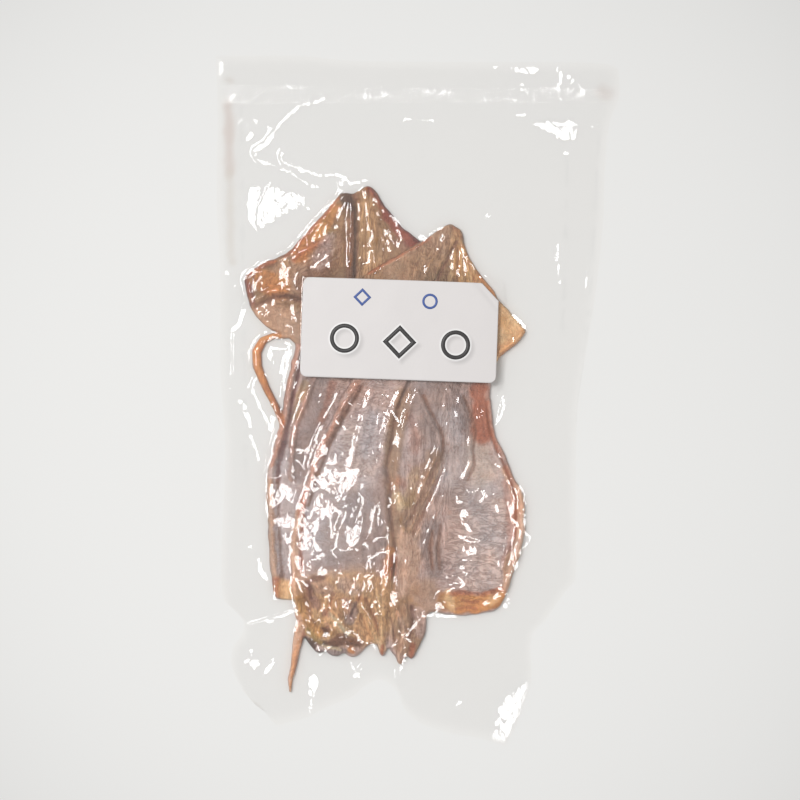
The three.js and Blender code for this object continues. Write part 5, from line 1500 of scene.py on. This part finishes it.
def seal_lines(x):
    """The lower and upper line of the top seal."""
    across = np.clip((x - TOP_EDGE[0][0]) / (TOP_EDGE[-1][0] - TOP_EDGE[0][0]), 0, 1)
    return [blend(left, right, across) for left, right in zip(SEAL_LEFT, SEAL_RIGHT)]


def empty_stack(x, y, outside):
    """The upper film where nothing lies under it: thin in the seals, lifted by what air is left."""
    low, high = seal_lines(x)
    from_side = np.minimum(x - curve(LEFT_EDGE, y), curve(RIGHT_EDGE, y) - x)
    from_end = np.minimum(y - curve(BOTTOM_EDGE, x), curve(TOP_EDGE, x) - y)
    flap = smoothstep(high, high + SEAL_FADE, y)
    margin = smoothstep(-low, SEAL_FADE - low, -y)
    margin = margin * smoothstep(SIDE_SEAL - MARGIN_EASE, SIDE_SEAL + MARGIN_EASE, from_side)
    stack = SEALED_STACK + flap * (OPEN_FLAP_STACK - SEALED_STACK)
    stack = stack + margin * (EMPTY_STACK - SEALED_STACK)
    free = smoothstep(LIFT_START, LIFT_FULL, outside) * np.maximum(flap, margin)
    first, second = (x / across + y / along for across, along in LIFT_WAVES)
    lift = MARGIN_LIFT * free * smoothstep(0, RIM_FADE, np.minimum(from_side, from_end))
    return stack + lift * (0.5 + 0.5 * np.sin(first) * np.cos(second))


def light_place(azimuth, tilt):
    azimuth, tilt = math.radians(azimuth), math.radians(tilt)
    flat = KEY_DISTANCE * math.sin(tilt)
    return Vector((flat * math.cos(azimuth), flat * math.sin(azimuth), KEY_DISTANCE * math.cos(tilt)))


def facing_slope(x, y):
    """The slopes along x and y of film that mirrors the softbox to a viewer straight above."""
    place = np.stack([x, y, np.full_like(x, MIRROR_HEIGHT)], -1)
    half = 0
    for target in ((*VIEW_CENTRE, CAMERA_HEIGHT), light_place(KEY_AZIMUTH, KEY_TILT)):
        ray = np.array(target) - place
        half = half + ray / np.linalg.norm(ray, axis=-1, keepdims=True)
    return -half[..., 0] / half[..., 2], -half[..., 1] / half[..., 2]


def glint_shares(x, y, half, path):
    """How far points belong to a thin line that mirrors the light, and their share of its rise."""
    distance, on_x, on_y = nearest_point(x, y, path)
    steady, varying, size = GLINT_WIDTHS
    width = half * (steady + varying * noise(on_x / size, on_y / size, WIDTH_SEED))
    cover = GLINT_COVER * smoothstep(width + GLINT_SOFTNESS, width - GLINT_SOFTNESS, distance)
    return cover, GLINT_RISE * smoothstep(GLINT_FOOT * half, 0, distance)


def mirror_cover(x, y):
    """How far each point of the film belongs to the listed areas and lines, and its relief."""
    x = x + CURL * noise(x / CURL_SIZE, y / CURL_SIZE, CURL_SEEDS[0])
    y = y + CURL * noise(x / CURL_SIZE, y / CURL_SIZE, CURL_SEEDS[1])
    cover, rise = np.zeros(x.shape), np.zeros(x.shape)
    for area in FILM_FACETS:
        outline = rounded(area)
        near = in_box(x, y, outline, MIRROR_MARGIN)
        share = smoothstep(-FACET_SOFTNESS, FACET_SOFTNESS, area_depth(x[near], y[near], outline))
        cover[near] = np.maximum(cover[near], share)
        rise[near] = np.maximum(rise[near], FACET_RISE * share)
    for half, path in FILM_GLINTS:
        near = in_box(x, y, path, MIRROR_MARGIN)
        share, lifted = glint_shares(x[near], y[near], half, path)
        cover[near] = np.maximum(cover[near], share)
        rise[near] = np.maximum(rise[near], lifted)
    for half, path in KNURLED:
        near, distance = near_path(x, y, path, half + 1)
        cover[near] = np.maximum(cover[near], KNURL_COVER * smoothstep(half + 1, half - 1, distance))
    return cover, rise


def pulled_down(rest, held, over_squid):
    """Film that hangs between the high places of what it rests on, and is held under the label."""
    film = rest.copy()
    pull = blend(FILM_PULL_OUTSIDE, FILM_PULL_OVER_SQUID, over_squid[1:-1, 1:-1])
    for _ in range(FILM_ROUNDS):
        hanging = np.maximum(rest[1:-1, 1:-1], neighbours(film) / 4 - pull)
        film[1:-1, 1:-1] = np.where(held[1:-1, 1:-1], rest[1:-1, 1:-1], hanging)
    return film


def film_heights():
    """The upper film on a grid of its own: its height, where squid lie under it, where it mirrors."""
    x, y = np.meshgrid(np.arange(XS[0], XS[-1], FILM_CELL), np.arange(YS[0], YS[-1], FILM_CELL))
    squid = np.maximum(
        np.where(BACK_DEPTH > 0, BACK_TOP, 0), np.where(FRONT_DEPTH > 0, FRONT_TOP, 0))
    outside = -sampled(np.maximum(BACK_DEPTH, FRONT_DEPTH), x, y)
    over_squid = smoothstep(OVER_SQUID_FROM, OVER_SQUID_FULLY, outside)
    from_label = label_depth(x, y)
    held = from_label > -LABEL_GRIP
    rest = np.maximum(empty_stack(x, y, outside), sampled(squid, x, y) + FILM_CLEARANCE)
    rest = np.where(held, label_rest(x, y), rest)
    film = pulled_down(rest, held, over_squid)

    free = smoothstep(-LABEL_FLAT, -LABEL_BORDER, from_label)
    relief = np.zeros_like(film)
    add_relief(relief, x, y, FILM_RIDGES)
    for index, (size, rise) in enumerate(CRINKLES):
        share = blend(CRINKLES_OUTSIDE, 1, over_squid)
        relief += share * rise * noise(x / size, y / size, CRINKLE_SEED + index)
    film = film + np.maximum(relief, -DEEPEST_GROOVE * film) * free
    cover, rise = mirror_cover(x, y)
    film = smoothed(film + rise * free, 1)
    return film, over_squid, cover * free * (1 - SQUID_DULLING * over_squid)


def film_veil(x, y, over_squid):
    """How milky the film is: its own milk, with patches of painted sheen over the squid."""
    veil = blend(FILM_VEIL, SQUID_VEIL, over_squid)
    size, strength = HAZE_WISPS
    wisps = over_squid * (HAZE_LEAST + strength * cloud(x, y, size, HAZE_SEED))
    # Painted sheen: milky patches where the film glares over the squid.
    for patch, more in SHEEN_HAZES:
        veil = veil + more * spot(x, y, patch, HAZE_CORE) * wisps
    return np.clip(veil, 0, 1)


def film_tint(x, y):
    """The colour that the film lets through."""
    tint = np.tile(np.array(FILM_TINT), x.shape + (1,))
    waves = noise(x / STAIN_WAVES, y / STAIN_WAVES, STAIN_SEED)
    for colour, *shape in FILM_STAINS:
        lay_stroke(tint, x, y, np.array(colour), shape, waves, 0)
    return tint


def film_layers(x, y, from_rim, over_squid, cover):
    """What the film's material reads at each corner, in layers of three numbers."""
    low, high = seal_lines(x)
    welded = smoothstep(low - 1, low + 1, y) * smoothstep(-high - 1, 1 - high, -y)
    gloss = smoothstep(0, 1, from_rim / DULL_EDGE)
    slope_x, slope_y = facing_slope(x, y)
    return {
        "tint": film_tint(x, y).reshape(-1, 3),
        "traits": points_of(welded, gloss, film_veil(x, y, over_squid)),
        "mirror": points_of(0.5 + slope_x, 0.5 + slope_y, cover),
    }


def coarse(count):
    """Every few of a row of nodes, and the last one."""
    return sorted({*range(0, count, UNDERSIDE_STRIDE), count - 1})


def film_walls(index, low_index, stops):
    """Faces round the rim, each from one cell of the underside up to the finer cells over it."""
    fine, low = border(index), border(low_index)
    starts = np.flatnonzero(np.isin(fine, stops))
    ends = np.append(starts[1:], len(fine))
    fine = np.append(fine, fine[0])
    return [
        np.array([low_a, low_b, *fine[start:end + 1][::-1]])
        for low_a, low_b, start, end in zip(low, np.roll(low, -1), starts, ends)
    ]


def film_top():
    """The nodes of the film's upper face, and what its material reads there."""
    heights, over, mirrors = film_heights()
    u, v = np.meshgrid(stations(COLUMN_RUNS), stations(ROW_RUNS))
    x, y = footprint(u, v)
    from_rim = np.minimum(np.minimum(u, 1 - u) * RIMS_ACROSS, np.minimum(v, 1 - v) * RIMS_ALONG)
    z = blend(SEALED_STACK, sampled(heights, x, y, FILM_CELL), smoothstep(0, 1, from_rim))
    over_squid, cover = (sampled(field, x, y, FILM_CELL) for field in (over, mirrors))
    return x, y, z, film_layers(x, y, from_rim, over_squid, cover)


def film_body():
    """The whole film: its corners, its faces, its layers of colour, and how many faces are on top."""
    x, y, z, layers = film_top()
    index = np.arange(x.size).reshape(x.shape)
    coarse_nodes = np.ix_(coarse(x.shape[0]), coarse(x.shape[1]))
    low_x, low_y = x[coarse_nodes], y[coarse_nodes]
    low_index = x.size + np.arange(low_x.size).reshape(low_x.shape)
    walls = film_walls(index, low_index, index[coarse_nodes])
    vertices = np.vstack([points_of(x, y, z), points_of(low_x, low_y, np.zeros_like(low_x))])

    # The walls have corners of their own, so that they don't shade the top's rim.
    corners = np.unique(np.concatenate(walls))
    own = np.full(len(vertices), -1)
    own[corners] = len(vertices) + np.arange(len(corners))
    faces = [*quads(index), *quads(low_index)[:, TURNED], *(own[wall] for wall in walls)]
    tint = np.vstack([layers["tint"], np.ones((low_x.size, 3))])
    layers["tint"] = np.vstack([tint, tint[corners]])
    for layer in ("traits", "mirror"):
        plain = np.zeros((low_x.size + len(corners), 3))
        layers[layer] = np.vstack([layers[layer], plain])
    return np.vstack([vertices, vertices[corners]]), faces, layers, len(quads(index))


def film_pieces():
    """The film as two pieces, one above the other, which keeps each mesh light."""
    vertices, faces, layers, on_top = film_body()
    first_y = vertices[[face[0] for face in faces], 1]
    pieces = []
    for name, mine in (("film_upper", first_y >= FILM_SPLIT), ("film_lower", first_y < FILM_SPLIT)):
        kept = np.flatnonzero(mine)
        used = np.unique(np.concatenate([faces[k] for k in kept]))
        renumber = np.full(len(vertices), -1)
        renumber[used] = np.arange(len(used))
        piece = mesh_piece(name, vertices[used], [renumber[faces[k]].tolist() for k in kept],
                           {layer: values[used] for layer, values in layers.items()})
        piece.data.polygons.foreach_set("use_smooth", kept < on_top)
        pieces.append(piece)
    return pieces


# ---------------------------------------------------------------- label

def label_place(u, v):
    """A point of the label's face: a rounded rectangle with one corner cut by its bend."""
    left, right, low, high = (LABEL[side] for side in ("left", "right", "low", "high"))
    x = blend(left, right, u)

    def corner(distance):
        t = np.clip(1 - distance / LABEL["corner"], 0, 1)
        return LABEL["corner"] * (1 - np.sqrt(1 - t * t))
    left_cut = corner(x - left)
    low_y = low + np.maximum(left_cut, corner(right - x))
    high_y = high - np.maximum(left_cut, np.maximum(LABEL["bent"] - (right - x), 0))
    return x, blend(low_y, high_y, v)


def label_top(x, y):
    """The height of the label's face: on the film, with slow waves and the crease of its bend."""
    size, rise = LABEL_SWELLS
    waves = rise * cloud(x, y, size, LABEL_SEED, 2) + ripples(x, y, LABEL_RIPPLES, LABEL_SEED)
    from_crease = path_distance(x, y, LABEL_CREASE) / LABEL_CREASE_WIDTH
    crease = LABEL_CREASE_DEPTH * np.exp(-(from_crease ** 2))
    return label_rest(x, y) + LABEL_GAP + LABEL_THICKNESS + waves - crease


def mark_distance(kind, dx, dy, size):
    """The distance from a mark's middle line, negative inside."""
    if kind == "ring":
        return np.hypot(dx, dy) - size / 2
    return (abs(dx) + abs(dy) - size / 2) / math.sqrt(2)


def label_tone(x, y):
    """The paper's colour: a little lighter to the right as painted light, with a glow and a shade at
    each dark mark.
    """
    # Painted light: the paper grows lighter towards the right.
    tone = np.tile(linear(PAPER), x.shape + (1,)) * (1 + PAPER_PAINTED_LIGHT_LEAN * (x[..., None] - PAPER_MIDDLE))
    for kind, (mx, my), size, stroke in DARK_PRINT:
        from_line = abs(mark_distance(kind, x - mx, y - my, size)) - stroke / 2
        shifted = abs(mark_distance(kind, x - mx - SHADE_OFFSET, y - my + SHADE_OFFSET, size))
        glow = smoothstep(*GLOW_REACH[::-1], from_line)[..., None]
        shade = smoothstep(stroke / 2 + SHADE_REACH, 0, shifted)[..., None]
        tone = blend(tone * (1 - SHADE_STRENGTH * shade), linear(GLOW), glow)
    return tone


def label_piece():
    """The paper as a closed sheet: its face, its back and its edge."""
    u, v = np.meshgrid(stations(LABEL_COLUMN_RUNS), stations(LABEL_ROW_RUNS))
    x, y = label_place(u, v)
    top = label_top(x, y)
    index = np.arange(x.size).reshape(x.shape)
    rim = border(index)
    after = np.roll(rim, -1)
    sides = np.stack([rim, rim + x.size, after + x.size, after], -1)
    faces = np.vstack([quads(index), quads(index)[:, ::-1] + x.size, sides])
    vertices = np.vstack([points_of(x, y, top), points_of(x, y, top - LABEL_THICKNESS)])
    tone = label_tone(x, y).reshape(-1, 3)
    return mesh_piece("label_paper", vertices, faces, {"tone": np.vstack([tone, tone])})


def mark_line(kind, size):
    """Points round a mark's line."""
    angles = np.linspace(0, 2 * np.pi, PRINT_POINTS, endpoint=False)
    x, y = np.cos(angles), np.sin(angles)
    if kind == "ring":
        return x * size / 2, y * size / 2
    reach = size / 2 / (abs(x) + abs(y))
    return x * reach, y * reach


def ink_piece(name, marks):
    """Marks of ink as closed bands that stand a little way out of the paper."""
    rings, faces = [], []
    k = np.arange(PRINT_POINTS)
    after = (k + 1) % PRINT_POINTS
    for kind, (mx, my), size, stroke in marks:
        start = len(rings) * PRINT_POINTS
        across = stroke if kind == "ring" else stroke * math.sqrt(2)
        for grown in (size - across, size + across):
            dx, dy = mark_line(kind, grown)
            paper = label_top(mx + dx, my + dy)
            for rise in (0, PRINT_RISE):
                rings.append(points_of(mx + dx, my + dy, paper + rise - PRINT_SINK))
        inner_low, inner_high, outer_low, outer_high = (start + i * PRINT_POINTS for i in range(4))
        loop = (inner_high, outer_high, outer_low, inner_low, inner_high)
        for a, b in zip(loop[:-1], loop[1:]):
            faces.append(np.stack([a + k, b + k, b + after, a + after], -1))
    return mesh_piece(name, np.vstack(rings), np.vstack(faces))


# ---------------------------------------------------------------- materials

class Graph:
    """The nodes of a new material."""

    def __init__(self, name):
        self.material = bpy.data.materials.new(name)
        self.material.use_nodes = True
        self.tree = self.material.node_tree
        self.tree.nodes.clear()

    def add(self, kind, sockets=None, **settings):
        """Adds a node, joins its sockets to outputs or sets their values, and gives its outputs."""
        new = self.tree.nodes.new("ShaderNode" + kind)
        for key, value in settings.items():
            setattr(new, key, value)
        for socket, value in (sockets or {}).items():
            if isinstance(value, bpy.types.NodeSocket):
                self.tree.links.new(value, new.inputs[socket])
            else:
                new.inputs[socket].default_value = value
        return new.outputs

    def attribute(self, name):
        return self.add("Attribute", attribute_name=name)["Color"]

    def parts(self, colour):
        split = self.add("SeparateColor", {"Color": colour})
        return split["Red"], split["Green"], split["Blue"]

    def maths(self, operation, *values):
        return self.add("Math", dict(enumerate(values)), operation=operation)[0]

    def noise(self, scale, size, detail, warp):
        """Noise in object space, with its own scale along each axis."""
        place = self.add("TexCoord")["Object"]
        place = self.add("Mapping", {"Vector": place, "Scale": scale})["Vector"]
        sockets = {"Vector": place, "Scale": size, "Detail": detail, "Distortion": warp}
        return self.add("TexNoise", sockets)["Fac"]

    def varied(self, base, noise, strength):
        """A base value, raised and lowered by a noise."""
        return self.maths("MULTIPLY_ADD", self.maths("SUBTRACT", noise, 0.5), strength, base)

    def creased(self, noise, steepness, limit):
        """0 where a noise crosses its middle value, rising to a limit beside that line."""
        off = self.maths("ABSOLUTE", self.maths("SUBTRACT", noise, 0.5))
        return self.maths("MINIMUM", self.maths("MULTIPLY", off, steepness), limit)

    def ranged(self, value, low, high, new_low, new_high):
        """A value carried from one range to another, and kept in it."""
        ends = {"From Min": low, "From Max": high, "To Min": new_low, "To Max": new_high}
        return self.add("MapRange", {"Value": value, **ends})["Result"]

    def scaled(self, colour, value):
        return self.add("VectorMath", {0: colour, "Scale": value}, operation="SCALE")["Vector"]

    def bump(self, height, strength, distance):
        sockets = {"Height": height, "Strength": strength, "Distance": distance}
        return self.add("Bump", sockets)["Normal"]

    def mixed(self, share, first, second):
        """One surface over another, by a share."""
        return self.add("MixShader", {"Fac": share, 1: first, 2: second})["Shader"]

    def finished(self, surface):
        """The material, with a surface joined to its output."""
        self.add("OutputMaterial", {"Surface": surface})
        return self.material


def flesh_relief(graph):
    """Ripples, fibres and crumples, in the shares that the weave gives."""
    relief = 0.0
    for share, layer in zip(graph.parts(graph.attribute("weave")), FLESH_CREASES):
        folds = graph.creased(graph.noise(*layer), CREASE_STEEPNESS, 1.0)
        raised = graph.maths("SUBTRACT", folds, CREASE_MIDDLE)
        relief = graph.maths("MULTIPLY_ADD", raised, share, relief)
    return relief


def flesh_colour(graph, relief, grain):
    """The painted tone, varied by noise, with painted light on the relief's ridges and painted shade in
    its creases, browner in the hollows.
    """
    # Painted light and shade: lighter where the relief rises, darker where it sinks.
    value = graph.maths("MULTIPLY_ADD", relief, RELIEF_PAINTED_SHADING, 1.0)
    value = graph.varied(value, grain, GRAIN_TONE)
    value = graph.varied(value, graph.noise(*FLESH_BLOTCHES), BLOTCH_TONE)
    tone = graph.scaled(graph.attribute("tone"), graph.maths("MAXIMUM", value, DARKEST_TONE))
    # Painted shade: the hollows of the relief are tinted brown.
    sockets = {0: graph.ranged(relief, *HOLLOW_SHADE_RANGE), 6: tone, 7: HOLLOW_SHADE_BROWN}
    return graph.add("Mix", sockets, data_type="RGBA", blend_type="MULTIPLY")[2]


def flesh_material():
    graph = Graph("squid_flesh")
    relief = flesh_relief(graph)
    grain = graph.noise(*FLESH_GRAIN)
    height = graph.maths("MULTIPLY_ADD", grain, GRAIN_HEIGHT, relief)
    flesh = graph.add("BsdfPrincipled", {
        "Base Color": flesh_colour(graph, relief, grain),
        "Roughness": graph.maths("MULTIPLY_ADD", grain, *FLESH_ROUGHNESS),
        "Normal": graph.bump(height, *FLESH_BUMP),
        "Subsurface Weight": 0.1,
        "Subsurface Radius": (1.0, 0.5, 0.3),
        "Subsurface Scale": 0.001,
    })
    return graph.finished(flesh["BSDF"])


def knurled(graph, welded):
    """The crossed ribs that the sealing bars press into the film."""
    place = graph.add("TexCoord")["Object"]
    waves = []
    for turn in (KNURL_TURN, -KNURL_TURN):
        sockets = {"Vector": place, "Rotation": (0, 0, math.radians(turn))}
        turned = graph.add("Mapping", sockets)["Vector"]
        waves.append(graph.add("TexWave", {"Vector": turned, "Scale": KNURL_SCALE})["Fac"])
    return graph.maths("MULTIPLY", graph.maths("MULTIPLY", *waves), welded)


def mirror_share(graph, cover, knurls):
    """How far the film is turned to the light, in ragged and curling patches."""
    cover = graph.varied(cover, graph.noise(*FILM_RAGGED), RAGGEDNESS)
    swirl = graph.creased(graph.noise(*FILM_SWIRL), SWIRL_STEEPNESS, SWIRL_LIMIT)
    cover = graph.maths("ADD", cover, graph.maths("SUBTRACT", swirl, SWIRL_MIDDLE))
    return graph.ranged(graph.maths("MULTIPLY_ADD", knurls, KNURL_SHARE, cover), *MIRROR_RANGE)


def film_normal(graph, knurls):
    """The film's normal: rippled and knurled, and turned to the light where it mirrors."""
    ripple = graph.maths("MULTIPLY_ADD", graph.noise(*FILM_RIPPLE), RIPPLE_HEIGHT, knurls)
    lean_x, lean_y, cover = graph.parts(graph.attribute("mirror"))
    leans = {"X": graph.maths("SUBTRACT", 0.5, lean_x), "Y": graph.maths("SUBTRACT", 0.5, lean_y)}
    turned = graph.add("CombineXYZ", {**leans, "Z": 1.0})["Vector"]
    turned = graph.add("VectorTransform", {"Vector": turned}, vector_type="NORMAL",
                       convert_from="OBJECT", convert_to="WORLD")["Vector"]
    sockets = {0: mirror_share(graph, cover, knurls), 4: graph.bump(ripple, *FILM_BUMP), 5: turned}
    normal = graph.add("Mix", sockets, data_type="VECTOR")[1]
    return graph.add("VectorMath", {0: normal}, operation="NORMALIZE")["Vector"]


def film_material():
    """Clear film, a little milky, with a gloss that grows towards grazing angles."""
    graph = Graph("film")
    welded, gloss_share, veil = graph.parts(graph.attribute("traits"))
    normal = film_normal(graph, knurled(graph, welded))
    clear = graph.add("BsdfTransparent", {"Color": graph.attribute("tint")})["BSDF"]
    milk = graph.add("BsdfDiffuse", {"Color": FILM_MILK})["BSDF"]
    gloss = graph.add("BsdfGlossy", {"Roughness": FILM_ROUGHNESS, "Normal": normal})["BSDF"]
    facing = graph.add("LayerWeight", {"Blend": 0.5})["Facing"]
    grazing = graph.maths("POWER", facing, GRAZING_POWER)
    grazing = graph.maths("MULTIPLY_ADD", grazing, 1 - FILM_GLOSS, FILM_GLOSS)
    hazy = graph.mixed(veil, clear, milk)
    return graph.finished(graph.mixed(graph.maths("MULTIPLY", grazing, gloss_share), hazy, gloss))


def paper_material():
    graph = Graph("label_paper")
    pulp = graph.noise(*PAPER_PULP)
    both = graph.maths("MULTIPLY_ADD", pulp, BLOTCHED_PULP, graph.noise(*PAPER_BLOTCHES))
    colour = graph.scaled(graph.attribute("tone"), graph.ranged(both, *PAPER_RANGE))
    normal = graph.bump(pulp, *PAPER_BUMP)
    sockets = {"Base Color": colour, "Roughness": 0.5, "Normal": normal}
    return graph.finished(graph.add("BsdfPrincipled", sockets)["BSDF"])


def ink_material(name, colour):
    graph = Graph(name)
    value = graph.ranged(graph.noise(*INK_PATCHES), *INK_RANGE)
    sockets = {"Base Color": graph.scaled(linear(colour), value), "Roughness": 0.45}
    return graph.finished(graph.add("BsdfPrincipled", sockets)["BSDF"])


def floor_material():
    """A pale table with painted shade in the corners of the view, and painted light that leans towards
    one side.
    """
    graph = Graph("floor")
    place = graph.add("SeparateXYZ", {"Vector": graph.add("TexCoord")["Object"]})
    across, along = (graph.maths("DIVIDE", place[axis], VIEW_WIDTH / 2 * MM) for axis in ("X", "Y"))
    squares = graph.maths("MULTIPLY_ADD", across, across, graph.maths("MULTIPLY", along, along))
    # Painted shade towards the corners of the view.
    corner = graph.maths("MINIMUM", graph.maths("MULTIPLY", squares, squares), FLOOR_CORNER_LIMIT)
    shade = graph.maths("MULTIPLY_ADD", corner, FLOOR_CORNER_SHADE, FLOOR_TONE)
    # Painted light that leans along and across the view.
    for place, lean in ((along, FLOOR_LIGHT_LEAN_ALONG), (across, FLOOR_LIGHT_LEAN_ACROSS)):
        limited = graph.maths("MINIMUM", graph.maths("MAXIMUM", place, -1.0), 1.0)
        shade = graph.maths("MULTIPLY_ADD", limited, lean, shade)
    shade = graph.maths("MULTIPLY_ADD", graph.noise(*FLOOR_PATCHES), FLOOR_CLOUDS, shade)
    sockets = {part: graph.maths("MULTIPLY", shade, share) for part, share in FLOOR_SHARES.items()}
    colour = graph.add("CombineColor", sockets)["Color"]
    return graph.finished(graph.add("BsdfDiffuse", {"Color": colour})["BSDF"])


# ---------------------------------------------------------------- the pieces

def dress(piece, node_name, finish):
    piece.data.materials.append(finish)
    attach(piece, "root")
    if node_name:
        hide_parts(node_name)


flesh = flesh_material()
weave = woven()
back = sheet_piece("back_squid", back_depth, BACK_DEPTH, BACK_UNDER, BACK_TOP,
                   painted(BACK_PAINT, BACK_TOP, BACK_PAINT_SEED), weave)
front = sheet_piece("front_squid", front_depth, FRONT_DEPTH, FRONT_UNDER, FRONT_TOP,
                    painted(FRONT_PAINT, FRONT_TOP, FRONT_PAINT_SEED), weave)
films = film_pieces()
label = label_piece()
dress(back, "bag", flesh)
dress(front, "bag", flesh)
clear = film_material()
for film in films:
    dress(film, "bag", clear)
dress(label, "label", paper_material())
dress(ink_piece("dark_print", DARK_PRINT), None, ink_material("dark_ink", DARK_INK))
dress(ink_piece("blue_print", BLUE_PRINT), None, ink_material("blue_ink", BLUE_INK))


# ---------------------------------------------------------------- table, light and camera

def add_floor():
    signs = ((-1, -1), (1, -1), (1, 1), (-1, 1))
    corners = [(x * FLOOR_HALF, y * FLOOR_HALF, -FLOOR_DROP) for x, y in signs]
    floor = mesh_piece("floor", corners, [(0, 1, 2, 3)])
    floor.data.materials.append(floor_material())


def add_softbox():
    data = bpy.data.lights.new("softbox", "AREA")
    data.shape = "SQUARE"
    data.size = KEY_SIZE * MM
    data.energy = KEY_WATTS
    softbox = bpy.data.objects.new("softbox", data)
    place = light_place(KEY_AZIMUTH, KEY_TILT)
    softbox.location = place * MM
    softbox.rotation_euler = place.to_track_quat("Z", "Y").to_euler()
    bpy.context.scene.collection.objects.link(softbox)


def add_room():
    room = bpy.data.worlds.new("room")
    room.use_nodes = True
    background = room.node_tree.nodes["Background"]
    background.inputs["Color"].default_value = ROOM_COLOUR
    background.inputs["Strength"].default_value = ROOM_LIGHT
    bpy.context.scene.world = room


def add_camera():
    data = bpy.data.cameras.new("camera")
    data.sensor_width = SENSOR
    data.lens = SENSOR * CAMERA_HEIGHT / VIEW_WIDTH
    camera = bpy.data.objects.new("camera", data)
    camera.location = Vector((*VIEW_CENTRE, CAMERA_HEIGHT)) * MM
    camera.rotation_euler = (0, 0, math.radians(VIEW_TURN))
    bpy.context.scene.collection.objects.link(camera)
    bpy.context.scene.camera = camera


add_floor()
add_softbox()
add_room()
add_camera()
bpy.context.scene.view_settings.view_transform = "Standard"
